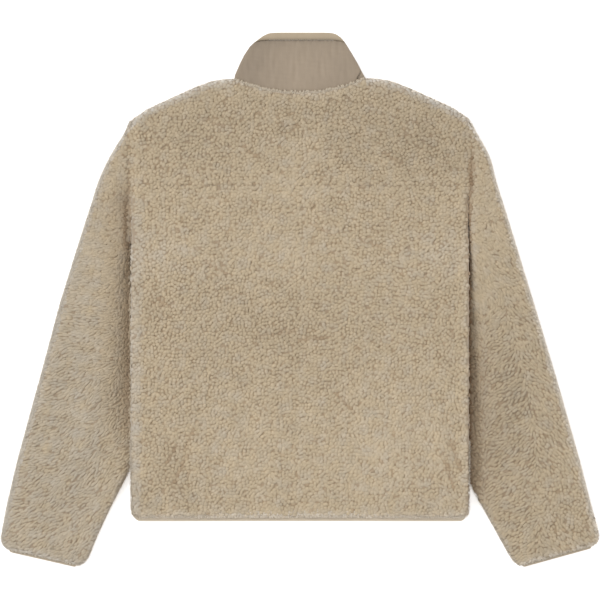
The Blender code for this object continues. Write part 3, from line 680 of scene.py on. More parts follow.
def ridges(name, spine, normal, width, height, kind, marks, rng):
    """Curls along spines of points: each a ridge with sides that run down into the backing."""
    count, steps = spine.shape[:2]
    wide = np.array(kind["section"])
    inside = slice(1, -1)
    side = unit(np.cross(normal, np.gradient(spine, axis=1)))
    at, out, across = spine[:, inside], normal[:, inside], side[:, inside]
    reach = (0.5 * width[:, None] * wide)[..., None]
    tall = (height[:, None] * np.sqrt(wide))[..., None]
    lean = LEAN * rng.uniform(-1.0, 1.0, count)[:, None, None] * reach
    ridge = [
        at + across * (reach * aside + lean * high) + out * (above + tall * high)
        for aside, above, high in RIDGE_SECTION
    ]
    tips = spine[:, [0, -1]] - normal[:, [0, -1]] * TIP_SUNK
    points = np.concatenate([np.stack(ridge, axis=2).reshape(count, -1, 3), tips], axis=1)
    points[..., 2] = np.maximum(points[..., 2], kind["lowest"])
    per = points.shape[1]

    # One curl's faces: between each four points and the next, and a fan at each end.
    curl = []
    for a in range(0, per - 6, 4):
        for k in range(a, a + 3):
            curl += [(k, k + 4, k + 5), (k, k + 5, k + 1)]
    curl += [(per - 2, k, k + 1) for k in range(3)]
    curl += [(per - 1, k + 1, k) for k in range(per - 6, per - 3)]
    faces = (np.array(curl)[None] + per * np.arange(count)[:, None, None]).reshape(-1, 3)

    # Its sides and its two ends are coloured towards the gaps' brown as far as its root says, as
    # painted shade.
    u = np.concatenate([np.repeat(np.linspace(0.0, 1.0, steps)[inside], 4), [0.0, 1.0]])
    v = np.concatenate([np.tile([0.0, 0.3, 0.7, 1.0], steps - 2), [0.5, 0.5]])
    length = np.linalg.norm(spine[:, -1] - spine[:, 0], axis=1)
    mark = np.repeat(marks["pile"][:, None], per, axis=1)
    mark[:, [*range(0, per - 2, 4), *range(3, per - 2, 4)]] *= marks["root"][:, None]
    mark[:, -2:] *= 0.3 + 0.7 * marks["root"][:, None]
    every = {key: np.repeat(marks[key], per) for key in ("lock", "nap_and_light", "cool")}
    every["pile"] = mark.ravel()
    every["run"] = (length[:, None] * u).ravel()
    every["side"] = (width[:, None] * v).ravel()
    atlas = separate_cells(count, np.stack([u, v], axis=1))
    return new_object(name, points.reshape(-1, 3), faces.tolist(), atlas, every, fleece)


def separate_cells(count, local):
    """Places on a square map for many small pieces alike, each in a cell of its own."""
    wide = int(math.ceil(math.sqrt(count)))
    cell = np.stack([np.arange(count) % wide, np.arange(count) // wide], axis=1)
    return ((cell[:, None] + 0.1 + 0.8 * local[None]) / wide).reshape(-1, 2)


def fuzz(name, cloth, kind, keep=None):
    """Single fibres that stand off the cloth, as thin blades, mostly where it rounds away."""
    rng = np.random.default_rng(kind["seed"] + 50)
    area = np.linalg.norm(np.cross(cloth.across, cloth.along), axis=2)[:-1, :-1]
    tilt = smooth((0.9 - np.abs(cloth.normal[:-1, :-1, 2])) / 0.4)
    weight = (area * (0.02 + tilt)).ravel()
    count = int(kind["fibres"] * weight.sum())
    cell = rng.choice(len(weight), count, p=weight / weight.sum())
    row = cell // (cloth.columns - 1) + rng.uniform(0.0, 1.0, count)
    column = cell % (cloth.columns - 1) + rng.uniform(0.0, 1.0, count)
    root = cloth.at(cloth.points, row, column)
    outward, ahead, aside, rim = cloth.heading(row, column, rng.uniform(0.0, math.tau, count))
    kept = outward[:, 2] > -0.5
    if keep is not None:
        kept &= keep(root, outward)
    root, outward, ahead, aside = (a[kept] for a in (root, outward, ahead, aside))
    count = len(root)
    paler, cooler = painted_rim_light(root, outward)
    along = ahead * rng.uniform(0.3, 1.0, (count, 1)) + aside * rng.normal(0.0, 0.45, (count, 1))
    point = unit(along + outward * rng.uniform(0.15, 0.9, (count, 1)))
    blade = unit(np.cross(point, outward)) * kind["fibre"][1] / 2.0
    root = root + outward * rng.uniform(0.6, 1.4, (count, 1))
    tip = root + point * kind["fibre"][0] * rng.uniform(0.5, 1.0, (count, 1))
    points = np.stack([root - blade, root + blade, tip], axis=1).reshape(-1, 3)
    points[:, 2] = np.maximum(points[:, 2], kind["lowest"])
    faces = np.arange(3 * count).reshape(count, 3).tolist()
    atlas = separate_cells(count, np.array([(0.0, 0.0), (0.4, 0.0), (0.0, 1.0)]))
    # The fibres are coloured a little paler than the curls, and take the painted rim light.
    every = {
        "pile": np.ones(3 * count),
        "lock": np.repeat(rng.uniform(0.3, 1.0, count), 3),
        "nap_and_light": np.repeat(nap_and_light(root[:, 0], root[:, 1]) + 0.08 + paler, 3),
        "cool": np.repeat(np.clip(0.3 + cooler, 0.0, 1.0), 3),
        "run": np.zeros(3 * count),
        "side": np.zeros(3 * count),
    }
    return new_object(name, points, faces, atlas, every, fleece)


def fringe(name, line, ahead, overhang, kind, seed, paler=0.22, cool=0.75):
    """Tufts along an edge, which they hang over. The edge is a line of points, and ahead is the
    way off it, for each point or for all. A tuft is thinner than a curl of its kind. paler is how
    much paler the tufts are painted, as painted rim light, and cool how cool they look."""
    rng = np.random.default_rng(seed)
    ahead = np.broadcast_to(unit(np.array(ahead, float)), line.shape)
    reached = distances(line)
    wanted = np.arange(0.5, reached[-1], TUFT["apart"])
    wanted = wanted + rng.uniform(-0.8, 0.8, len(wanted))
    count = len(wanted)
    place, way = (
        np.stack([np.interp(wanted, reached, field[:, k]) for k in range(3)], axis=1)
        for field in (line, ahead)
    )
    along = unit(np.gradient(place, axis=0))
    way = unit(way + along * rng.normal(0.0, 0.3, (count, 1)))
    length = kind["length"] * rng.uniform(0.6, 1.0, count)
    over = overhang * rng.uniform(0.25, 1.0, count)
    t = np.linspace(0.0, 1.0, len(kind["section"]) + 2)[None, :, None]
    start = place + way * (over - length)[:, None]
    spine = start[:, None] + way[:, None] * length[:, None, None] * t
    arched = TUFT["arch"] - TUFT["droop"] * (t[..., 0] ** 2)
    spine[..., 2] += arched + 0.3 * rng.uniform(-1.0, 1.0, (count, 1))
    normal = np.broadcast_to((0.0, 0.0, 1.0), spine.shape)
    width = TUFT["width"] * kind["width"] * rng.uniform(*VARIED["width"], count)
    marks = {
        "pile": np.ones(count),
        "root": np.full(count, TUFT["root"]),
        "lock": rng.uniform(0.0, 1.0, count),
        "nap_and_light": nap_and_light(place[:, 0], place[:, 1]) + paler,
        "cool": np.full(count, cool),
    }
    height = np.full(count, TUFT["height"])
    return ridges(name, spine, normal, width, height, kind, marks, rng)


# ------------------------------------------------------------------ back body and yoke
# The back is two panels of fleece: the lower one from the hem up, and the yoke from a level seam
# to the shoulders and the neckline. The pile's curls hide the seam.


def curly(x, y):
    """The way the curls lie on the body: mostly up to the right, but down to it at the upper
    right, and steep at the right edge. It is alike in small patches."""
    right, edge = smooth((x - 10.0) / 90.0), smooth((x - 150.0) / 90.0)
    upper, lower = smooth((y + 60.0) / 70.0), smooth((-60.0 - y) / 90.0)
    turn = 0.62 - 1.0 * right * upper + 0.4 * right * lower + 0.7 * edge
    return turn + 0.75 * drift(x, y, 26.0, 21)


BODY_CURLS = {
    "apart": (6.9, 5.4),
    "length": 10.6,
    "width": 7.7,
    "height": 2.0,
    "bend": 0.7,
    "stray": 0.4,
    "section": (0.95, 0.95),  # how full the ridge is at each step along it
    "fibres": 3.6,  # to the square millimetre, where the cloth rounds away
    "fibre": (4.6, 0.3),  # length and width
    "way": curly,
    "under": 1.0,
    "lowest": 0.2,  # height above the ground
    "root": 0.28,
    "cool": 0.0,
}
SIDE_COLUMNS = np.array([0.0, 0.5, 1.6, 3.6, 6.5, 10.0, 14.0])
EDGE_ROWS = np.array([0.0, 0.6, 1.8, 4.0, 7.0, 11.0])
ROW = 4.5  # from one row of a backing's points to the next
SHELL_INSET = 0.8 * PILE  # how far the backing's sides lie inside the tips of the pile
PANEL_HEM_Y = HEM_Y + 0.5 * PILE
TUCK = 5.0  # how far a panel's cloth turns in under its edges


def with_walls(x, y, z, floor):
    """Adds the walls at the panel's edges: down to the floor of its layer, then a little in."""
    x, y, z, floor = (np.pad(a, 2, mode="edge") for a in (x, y, z, floor))
    for border in (1, -2):
        z[border], z[:, border] = floor[border], floor[:, border]
    z[[0, -1]], z[:, [0, -1]] = floor[[0, -1]], floor[:, [0, -1]]
    x[:, 0] += TUCK
    x[:, -1] -= TUCK
    y[0] += TUCK
    y[-1] -= TUCK
    return np.stack([x, y, z], axis=2)


def body_columns(step):
    """The x of a body panel's columns, closer together at its sides."""
    edge = HALF_WIDTH - SHELL_INSET - SIDE_COLUMNS
    return mirrored(edge, np.linspace(-edge[-1], edge[-1], int(2 * edge[-1] / step))[1:-1])


def body_share(x, y, neck_drop):
    """Share of the fleece's full thickness near the body's own edges. It is thinnest where the
    panels are sewn at the sides, and thicker at the armholes and the neck."""
    side = half_width(y) - SHELL_INSET - np.abs(x)
    armhole = smooth((y - UNDERARM_Y) / 30.0)
    share = edge_share(side, 0.25 + 0.35 * armhole)
    top = top_edge(x, neck_drop) - SHELL_INSET - y
    at_neck = np.abs(x) < NECK_HALF_WIDTH
    share = share * edge_share(top, np.where(at_neck, 0.6, 0.28))
    return share * edge_share(y - PANEL_HEM_Y, 0.35)


def off_the_seams(centre, outward):
    """Leaves out what the curls over the seams stand for."""
    at_yoke_seam = np.abs(centre[:, 1] - YOKE_SEAM_Y) < 2.8
    at_right_edge = (centre[:, 0] > 267.0) & (outward[:, 2] > 0.0)
    turned_in = outward[:, 2] < -0.3
    return ~at_yoke_seam & ~over_armhole(centre) & ~at_right_edge & ~turned_in


def over_armhole(centre):
    """Places at the part of an armhole that doesn't show as a line."""
    return (np.abs(centre[:, 0]) > HALF_WIDTH - 7.0) & (centre[:, 1] > open_below(centre[:, 0]))


def fuzz_off_the_seams(centre, outward):
    """Keeps the fibres that stand off the edges, and leaves out those at the seams."""
    at_armhole = (np.abs(centre[:, 0]) > 262.0) & (np.abs(centre[:, 1] - 15.0) < 240.0)
    return (off_the_seams(centre, outward) | (outward[:, 2] < 0.75)) & ~at_armhole


def back_height(x, y):
    """Height of the back's backing, with the floor of its layer."""
    floor = middle(x, y) + SEAM_GAP / 2
    share = body_share(x, y, BACK_NECK_DROP)
    return floor, (FLEECE - PILE + fold_height(x, y, BODY_FOLDS)) * share


def back_panel(node, x, y, from_seam, seed):
    """The upper or the lower back panel, its pile, and the fibres that stand off its edges."""
    floor, thickness = back_height(x, y)
    z = floor + thickness * edge_share(from_seam, 0.85, 5.0)
    cloth = Cloth(with_walls(x, y, z, floor))
    panel = backing(f"{node}_cloth", cloth)
    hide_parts(node)
    kind = {**BODY_CURLS, "seed": seed}
    curls = pile(f"{node}_pile", cloth, kind, off_the_seams)
    return panel, [curls, fuzz(f"{node}_fuzz", cloth, kind, fuzz_off_the_seams)]


# The lower back panel reaches from the hem to the yoke seam. Its tufts hang over the hem.
low, high = PANEL_HEM_Y, YOKE_SEAM_Y - SEAM_GAP / 2
rows = [low + EDGE_ROWS, np.arange(low + 15, high - 12, ROW), high - EDGE_ROWS[::-1]]
x, y = np.meshgrid(body_columns(ROW), np.concatenate(rows))
x = x * half_width(y) / HALF_WIDTH
back_body, back_pieces = back_panel("back_body", x, y, high - y, 1)
HEM_TUFTS = (
    {"inset": 6.5, "rise": 6.9, "overhang": 3.4},
    {"inset": 3.6, "rise": 6.2, "overhang": 3.8},
    {"inset": 1.0, "rise": 5.0, "overhang": 4.6},
)
x = np.linspace(-258.0, 258.0, 150)
for number, row in enumerate(HEM_TUFTS):
    y = np.full_like(x, HEM_Y + row["inset"])
    level = middle(x, HEM_Y) + row["rise"] + fold_height(x, y, BODY_FOLDS)
    line, seed = np.stack([x, y, level], axis=1), 61 + 10 * number
    tufts = fringe(f"hem_fringe_{number}", line, (0, -1, 0), row["overhang"], BODY_CURLS, seed)
    back_pieces.append(tufts)

# The yoke reaches from the seam to the shoulders and the neckline.
low = YOKE_SEAM_Y + SEAM_GAP / 2
columns = body_columns(ROW)
top = top_edge(columns, BACK_NECK_DROP) - SHELL_INSET
first, last = low + 15.0, top - 15.0
rows = [np.full_like(top, low + e) for e in EDGE_ROWS]
rows += [first + (last - first) * s for s in np.linspace(0.0, 1.0, 30)]
rows += [top - e for e in EDGE_ROWS[::-1]]
y = np.array(rows)
x = np.broadcast_to(columns, y.shape)
back_yoke, yoke_pieces = back_panel("back_yoke", x, y, y - low, 2)

# The pile at the yoke seam has been picked out of it, so that its curls lie over both panels.
x, y = np.meshgrid(columns[1:-1], YOKE_SEAM_Y + np.linspace(-6.5, 6.5, 5))
floor, thickness = back_height(x, y)
seam_cloth = Cloth(np.stack([x, y, floor + thickness], axis=2))
yoke_pieces.append(backing("yoke_seam_cloth", seam_cloth))
yoke_pieces.append(pile("yoke_seam_pile", seam_cloth, {**BODY_CURLS, "seed": 7}))

# Tufts lie over the foot of the collar, and over the shoulders and the tops of the armholes.
COLLAR_FOOT_RISE = 4.6
SHOULDER_RISE = 1.2
ARMHOLE_TOP = {"x": (273.0, 277.0, 282.0, 287.0), "y": (281.0, 272.0, 262.0, 254.0)}
x = np.linspace(-104.0, 104.0, 60)
y = top_edge(x, BACK_NECK_DROP)
neckline = np.stack([x, y - 0.2, np.full_like(x, FLEECE + COLLAR_FOOT_RISE)], axis=1)
off = np.stack([-np.gradient(y, x), np.ones_like(x), 0.0 * x], axis=1)
kind = {**BODY_CURLS, "length": 10.0, "width": 11.0}
yoke_pieces.append(fringe("neck_fringe", neckline, off, 5.4, kind, 62, 0.06, 0.45))
for side, name in ((-1, "left"), (1, "right")):
    x = np.linspace(104.0, 269.0, 60)
    y = np.append(top_edge(x * side, BACK_NECK_DROP) - 1.0, ARMHOLE_TOP["y"])
    x = np.append(x, ARMHOLE_TOP["x"])
    line = np.stack([side * x, y, np.full_like(x, FLEECE + SHOULDER_RISE)], axis=1)
    off = np.stack([-side * np.gradient(y), np.gradient(x), 0.0 * x], axis=1)
    tufts = fringe(f"shoulder_{name}_fringe", line, off, 2.6, BODY_CURLS, 66 + side, 0.14)
    yoke_pieces.append(tufts)


# ------------------------------------------------------------------ front
# The front is one panel of the same fleece, which the garment lies on. It has a notch at the
# neck for the placket.

PLACKET_HALF = 16.0
PLACKET_END_Y = 118.0
FRONT_ROW = 6.5
notch = PLACKET_HALF + SEAM_GAP
columns = body_columns(FRONT_ROW)
columns = columns[np.abs(columns) > notch + 5.0]
beside = notch + np.array([3.0, 1.2, 0.6])
half = len(columns) // 2
columns = np.concatenate([columns[:half], -beside, beside[::-1], columns[half:]])
end = PLACKET_END_Y - SEAM_GAP - 0.6
lower_rows = [PANEL_HEM_Y + EDGE_ROWS, np.arange(PANEL_HEM_Y + 15, end - 12, FRONT_ROW)]
lower_rows = np.concatenate([*lower_rows, [end - 5.0, end - 1.5, end - 0.6, end]])
top = top_edge(columns, FRONT_NECK_DROP) - SHELL_INSET
rows = [np.full_like(top, value) for value in lower_rows]
rows += [end + 6.0 + (top - 15.0 - end - 6.0) * s for s in np.linspace(0.0, 1.0, 26)]
rows += [top - e for e in EDGE_ROWS[::-1]]
y = np.array(rows)
x = np.broadcast_to(columns, y.shape) * half_width(y) / HALF_WIDTH
from_notch = np.maximum(np.abs(x) - notch - 0.6, end - 0.6 - y)
share = body_share(x, y, FRONT_NECK_DROP) * edge_share(from_notch, 0.6, 6.0)
floor = middle(x, y) - SEAM_GAP / 2
z = floor - (FLEECE - PILE) * share
z = np.where((np.abs(x) < notch + 0.7) & (y > end - 0.1), floor, z)
front_cloth = Cloth(with_walls(x, y, z, floor), outward=-1.0)
corner, beyond = front_cloth.points[:-1, :-1], front_cloth.points[:-1, 1:]
in_notch = (np.abs(corner[..., 0] + beyond[..., 0]) < 1.0) & (corner[..., 1] > end - 0.1)
front_body = backing("front_body_cloth", front_cloth, in_notch)
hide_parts("front_body")


def beside_notch(centre, outward):
    """Leaves out the curls in the notch, and those that would stick up between the layers."""
    at_notch = (np.abs(centre[:, 0]) < notch + 2.0) & (centre[:, 1] > end - 2.0)
    return ~at_notch & (outward[:, 2] < 0.3)


kind = {**BODY_CURLS, "seed": 3, "under": 1.5}
front_pile = pile("front_body_pile", front_cloth, kind, beside_notch)


# ------------------------------------------------------------------ sleeves
# Each sleeve is one piece, folded flat and sewn along its inner edge, wide at the armhole and
# narrow at the cuff. Its pile has been stroked, so it lies in short streaks.

LEFT_SLEEVE = (
    # x and y of the outer edge, x and y of the inner edge, crest height, inner part's height
    (-271.3, 288.5, -271.3, 15.0, 15.5, 11.5),
    (-278.0, 270.0, -270.3, 7.0, 18.6, 13.0),
    (-289.0, 252.0, -266.5, -5.0, 20.4, 14.2),
    (-304.5, 226.0, -262.0, -22.0, 21.6, 15.4),
    (-320.5, 191.0, -257.0, -42.0, 22.4, 16.0),
    (-332.5, 154.0, -251.0, -63.0, 22.8, 16.2),
    (-349.5, 102.0, -244.5, -88.0, 23.0, 16.2),
    (-366.0, 50.0, -238.0, -113.0, 23.0, 16.2),
    (-382.0, -1.0, -233.0, -140.0, 23.0, 16.2),
    (-396.5, -54.0, -232.0, -166.0, 23.0, 16.2),
    (-410.5, -106.0, -237.0, -192.0, 22.8, 16.0),
    (-424.5, -157.0, -249.0, -222.0, 22.5, 15.8),
    (-438.5, -208.0, -266.0, -259.0, 22.2, 15.6),
    (-450.5, -252.0, -285.0, -296.0, 22.0, 17.5),
    (-461.0, -296.0, -302.0, -329.0, 21.6, 19.0),
    (-470.5, -338.0, -319.5, -366.0, 21.2, 20.0),
    (-476.8, -372.0, -334.0, -400.0, 20.6, 20.4),
    (-478.0, -384.0, -338.5, -411.0, 20.0, 20.0),
    (-474.5, -392.5, -345.0, -419.5, 18.0, 18.0),
    (-470.0, -396.0, -352.0, -423.0, 15.0, 15.0),
)
RIGHT_SLEEVE = (
    # x and y of the outer edge, x and y of the inner edge, crest height, inner part's height
    (271.3, 288.5, 271.3, 15.0, 15.5, 11.5),
    (279.0, 271.0, 270.3, 7.0, 18.6, 13.0),
    (289.5, 253.0, 266.5, -5.0, 20.4, 14.2),
    (302.5, 227.0, 262.0, -22.0, 21.6, 15.4),
    (312.0, 191.0, 257.0, -42.0, 22.4, 16.0),
    (323.5, 154.0, 251.0, -63.0, 22.8, 16.2),
    (340.0, 102.0, 244.5, -88.0, 23.0, 16.2),
    (356.0, 50.0, 238.0, -113.0, 23.0, 16.2),
    (372.0, -1.0, 233.0, -140.0, 23.0, 16.2),
    (388.0, -54.0, 231.0, -168.0, 23.0, 16.2),
    (403.5, -106.0, 233.0, -196.0, 22.8, 16.0),
    (418.5, -157.0, 241.0, -228.0, 22.5, 15.8),
    (433.0, -208.0, 257.0, -266.0, 22.2, 15.6),
    (446.0, -254.0, 276.0, -303.0, 22.0, 16.4),
    (457.5, -298.0, 295.0, -336.0, 21.6, 18.5),
    (468.0, -338.0, 313.5, -369.0, 21.2, 20.0),
    (476.5, -369.0, 328.5, -396.0, 20.6, 20.4),
    (478.0, -379.0, 335.0, -407.5, 20.0, 20.0),
    (475.5, -386.5, 342.0, -417.5, 18.0, 18.0),
    (471.0, -390.0, 350.0, -423.5, 15.0, 15.0),
)
SLEEVE_FOLDS = (
    # as on the body: the valley beside it first, on each side, and then the softer ones
    {"start": (276, -30), "end": (284, -305), "half_width": 17, "height": -6.0},
    {"start": (-279, 195), "end": (-283, -215), "half_width": 14, "height": -3.6},
    {"start": (340, 60), "end": (327, -100), "half_width": 20, "height": -2.4},
    {"start": (360, -150), "end": (336, -275), "half_width": 22, "height": -2.6},
    {"start": (386, -366), "end": (430, -352), "half_width": 18, "height": -2.0},
    {"start": (-352, 30), "end": (-372, -70), "half_width": 22, "height": -1.4},
    {"start": (-318, -250), "end": (-352, -330), "half_width": 22, "height": -1.6},
    {"start": (-410, -290), "end": (-398, -368), "half_width": 20, "height": -1.4},
)


SLEEVE_MIDDLE = 0.47  # share of a sleeve's height at which its two layers meet
SLEEVE_GAP_Z = 7.0  # height of the gap between the layers at both ends
TOWARD_EDGE = (0.0, 0.5, 1.6, 3.6, 6.5, 10.0)


def finer_rows(table, spacing):
    """Sections between those of the table, on a smooth curve: between b and c, it starts along
    the line from a to c, and ends along the line from b to d."""
    table = np.array(table)
    ends = np.concatenate([[2 * table[0] - table[1]], table, [2 * table[-1] - table[-2]]])
    made = []
    for a, b, c, d in zip(ends, ends[1:], ends[2:], ends[3:]):
        gap = 0.5 * (np.hypot(*(c - b)[:2]) + np.hypot(*(c - b)[2:4]))
        for t in np.arange(0.0, 1.0, 1.0 / max(1, math.ceil(gap / spacing))):
            bend = (c - a) * t + (2 * a - 5 * b + 4 * c - d) * t * t
            made.append(b + 0.5 * (bend + (3 * b - a - 3 * c + d) * t**3))
    return np.array(made + [table[-1]])


def sleeve_ring(section):
    """A ring round a sleeve's section, from the middle of its underside, over its outer edge."""
    outer, inner, crest, low_height = section[:2], section[2:4], section[4], section[5]
    width = np.linalg.norm(inner - outer)
    edge = np.array(TOWARD_EDGE)
    inside = np.linspace(14.0, width - 14.0, 30)
    over = np.concatenate([edge, inside, (width - edge)[::-1]])
    near = np.minimum(over, width - over)
    fall = smooth((over / width - 0.48) / 0.26)
    place = outer + np.outer(over / width, inner - outer)
    height = crest + (low_height - crest) * fall + fold_height(*place.T, SLEEVE_FOLDS)
    share = edge_share(near, 0.0)
    rise = np.maximum(share - PILE / 11.0, 0.0)
    toward = np.where(over < width / 2, 1.0, -1.0) * SHELL_INSET * (1.0 - share)
    place = place + np.outer(toward / width, inner - outer)
    upper = np.column_stack([place, height * (SLEEVE_MIDDLE + (1.0 - SLEEVE_MIDDLE) * rise)])
    lower = np.column_stack([place, height * SLEEVE_MIDDLE * (1.0 - rise)])
    half = len(over) // 2
    return np.concatenate([lower[half:0:-2], upper, lower[-3:half:-2], lower[[half]]])


def sleeve_cloth(table, outward):
    """A sleeve's outside, whose two ends turn in to the gap between its layers."""
    rings = np.array([sleeve_ring(section) for section in finer_rows(table, ROW)])
    for end, following in ((0, 1), (-1, -2)):
        turned = rings[end].copy()
        turned[:, 2] = SLEEVE_GAP_Z + 0.06 * (turned[:, 2] - SLEEVE_GAP_Z)
        tucked = turned + TUCK * unit(rings[following] - rings[end])
        ends = [tucked, turned]
        rings = np.concatenate([ends, rings]) if end == 0 else np.concatenate([rings, ends[::-1]])
    return Cloth(rings, outward)


def left_way(x, y):
    """Strokes on the left sleeve: nearly level, steeper towards the cuff and the inner edge, and
    upright in the valley beside the body."""
    inner = smooth((x + 400.0 - 0.42 * np.minimum(y + 40.0, 0.0)) / 190.0)
    turn = 0.12 + 0.3 * smooth(-y / 120.0) + 0.36 * inner
    valley = smooth((x + 300.0) / 16.0) * smooth((y + 200.0) / 60.0)
    turn = turn + (1.5 - turn) * valley
    return turn + 0.16 * drift(x, y, 60.0, 41) + 0.12 * drift(x, y, 22.0, 42)


def right_way(x, y):
    """Strokes on the right sleeve: up to the right inside a slant line along its middle, and down
    to it outside the line, at the top and beside the body."""
    line_x = np.interp(-y, (0.0, 160.0, 330.0), (322.0, 366.0, 384.0))
    outside = smooth((x - line_x + 10.0) / 22.0)
    beside = np.maximum(smooth((303.0 - x) / 18.0), smooth((y + 30.0) / 50.0))
    down = np.maximum(outside, beside)
    return 0.84 + 1.4 * down + 0.18 * drift(x, y, 60.0, 43) + 0.16 * drift(x, y, 22.0, 44)


STROKED = {
    **BODY_CURLS,
    "apart": (8.8, 4.5),
    "length": 13.4,
    "width": 6.1,
    "height": 1.8,
    "bend": 0.22,
    "stray": 0.13,
    "section": (0.9, 1.0, 0.85),
    "under": 1.8,
    "root": 0.35,
    "cool": 0.02,
}


def beside_body(centre):
    """1 in the deep valley beside the body's edge, where little light comes, and 0 away from it.
    It is wide and soft at the left, and a thin line at the top of the right armhole."""
    x, y = centre[:, 0], centre[:, 1]
    away = np.abs(x) - 276.0
    outside = 0.62 * np.exp(-away / 19.0) + 0.15 * np.exp(-away / 4.0)
    left = np.where(away > 0.0, outside, 0.9 * bell(away, 4.5))
    left = left * smooth((215.0 - y) / 70.0) * smooth((y + 290.0) / 150.0)
    darkest = bell(x + 278.5, 4.0) * smooth((165.0 - y) / 20.0) * smooth((y - 72.0) / 30.0)
    left = left + 0.55 * darkest
    away = np.maximum(np.abs(x) - 266.0, 0.0)
    right = np.exp(-away / 17.0) * smooth((20.0 - y) / 150.0) * 1.25
    line_x = np.where(y > open_below(x), 275.0, 271.0)
    thin = bell(np.abs(x) - line_x, 3.3) * smooth((245.0 - y) / 20.0)
    right = np.maximum(right, thin)
    return np.clip(np.where(x < 0.0, left, right), 0.0, 1.0)


def armhole_cloth(sleeve, side):
    """A strip round an armhole, from the body's cloth to the sleeve's. Its rows start at the
    underarm, and go up the underside and back down the upper side."""
    ring = sleeve.points[2]
    first = int(np.argmin(ring[:, 1]))
    order = (first + np.arange(len(ring) + 1)) % len(ring)
    y, z = ring[order, 1], ring[order, 2]
    half_height = 0.5 * (z.max() - z.min())
    lift = np.clip(3.0 * (z - z.min() - half_height) / half_height, -1.0, 1.0)
    x = np.full(len(order), side * (HALF_WIDTH - 10.0))
    y = y + 5.0 * smooth((y - 270.0) / 18.0)
    thick = (FLEECE - PILE) * body_share(x, y, BACK_NECK_DROP) + SEAM_GAP / 2
    start = np.stack([x, y, middle(x, y) + lift * thick], axis=1)
    end = sleeve.at(sleeve.points, np.full(len(order), 5.0), order - 1e-6 * (order > 0))
    t = np.linspace(0.0, 1.0, 7)[None, :, None]
    points = start[:, None] * (1.0 - t) + end[:, None] * t
    points[..., 2] -= lift[:, None] * np.sin(math.pi * t[..., 0])
    return Cloth(points, -side * 1.0)


def on_sleeve(centre, outward):
    """Leaves out what lies between the sleeve and the body, or is covered at the armhole."""
    under_body = (np.abs(centre[:, 0]) < 258.0) & (centre[:, 1] < 5.0) & (centre[:, 1] > -345.0)
    at_armhole = (np.abs(centre[:, 0]) < 278.0) & (centre[:, 1] > open_below(centre[:, 0]))
    return (~under_body | (outward[:, 2] < 0.0)) & ~at_armhole


def fuzz_on_sleeve(centre, outward):
    """Leaves out the fibres that would stand in the armhole, and keeps those at the shoulder."""
    at_edge = (outward[:, 2] < 0.75) & (centre[:, 1] > 255.0)
    at_armhole = (np.abs(centre[:, 0]) < 283.0) & (np.abs(centre[:, 1] - 15.0) < 240.0)
    return (on_sleeve(centre, outward) | at_edge) & ~at_armhole


def curly_part(centre):
    """The top of a sleeve, where the pile is as curly as on the body, and a part by the cuff."""
    x, y = centre[:, 0], centre[:, 1]
    ragged = drift(x, y, 40.0, 45)
    by_cuff = (x > 300.0) & (from_line(x, y, (395, -320, 440, -330)) < 40.0 + 14.0 * ragged)
    return (y > 110.0 + 30.0 * ragged) | by_cuff


def curls_on_sleeve(centre, outward):
    return on_sleeve(centre, outward) & curly_part(centre)


def strokes_on_sleeve(centre, outward):
    return on_sleeve(centre, outward) & ~curly_part(centre)


def down_to_open(centre, outward):
    """Leaves the upper side of an armhole bare where it shows as a line."""
    return (centre[:, 1] > open_below(centre[:, 0])) | (outward[:, 2] < 0.0)


def cuff_ends(table):
    """The outer and inner corner of a cuff, the way along it and the way off the sleeve."""
    outer, inner = np.array(table[-1][:2]), np.array(table[-1][2:4])
    along = unit(inner - outer)
    return outer, inner, along, np.array([along[1], -along[0]]) * (-1.0 if along[0] < 0.0 else 1.0)


CUFF_TUFTS = (
    {"face": "upper_0", "inset": 6.0, "lift": 0.56, "overhang": 3.0},
    {"face": "upper_1", "inset": 3.0, "lift": 0.46, "overhang": 3.4},
    {"face": "upper_2", "inset": 0.0, "lift": 0.36, "overhang": 6.0},
    {"face": "lower", "inset": 0.0, "lift": -0.26, "overhang": 6.0},
)
RIGHT_STROKES = {"apart": (8.7, 5.0), "length": 13.0, "width": 6.6, "height": 2.1, "root": 0.26}
# The last values of each row are the painted shade in the valley beside the body: how much darker, and
# how much browner.
for side, name, table, strokes, valley_shade in (
    (-1, "left", LEFT_SLEEVE, {"way": left_way}, (0.3, 0.6)),
    (1, "right", RIGHT_SLEEVE, {"way": right_way, **RIGHT_STROKES}, (0.12, 0.62)),
):
    cloth = sleeve_cloth(table, side * 1.0)
    sleeve = backing(f"sleeve_{name}_cloth", cloth)
    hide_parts(f"sleeve_{name}")
    valley = {"valley": beside_body, "valley_shade": valley_shade}
    kind = {**STROKED, **strokes, "seed": 4 + side, **valley}
    curls = {**BODY_CURLS, "seed": 8 + side, "cool": 0.04, "under": 1.6, **valley}
    strip = armhole_cloth(cloth, side)
    shows = (strip.points[:-1, :-1, 1] < ARMHOLE_OPEN_Y[name]) & (strip.normal[:-1, :-1, 2] > 0.0)
    pieces = [
        pile(f"sleeve_{name}_pile", cloth, kind, strokes_on_sleeve),
        pile(f"sleeve_{name}_curls", cloth, curls, curls_on_sleeve),
        fuzz(f"sleeve_{name}_fuzz", cloth, kind, fuzz_on_sleeve),
        backing(f"armhole_{name}_cloth", strip, shows),
        pile(f"armhole_{name}_pile", strip, curls, down_to_open),
    ]
    outer, inner, along, away = cuff_ends(table)
    share = np.linspace(0.02, 0.98, 60)
    ends = outer + np.outer(share, inner - outer)
    rounded = edge_share(np.minimum(share, 1.0 - share) * np.linalg.norm(inner - outer), 0.3)
    for row in CUFF_TUFTS:
        level = table[-1][4] * (SLEEVE_MIDDLE + row["lift"] * rounded)
        line = np.column_stack([ends - away * row["inset"], level])
        tufts = f"cuff_{name}_{row['face']}_fringe"
        tufts = fringe(tufts, line, (*away, 0.0), row["overhang"], BODY_CURLS, 63 + side)
        pieces.append(tufts)


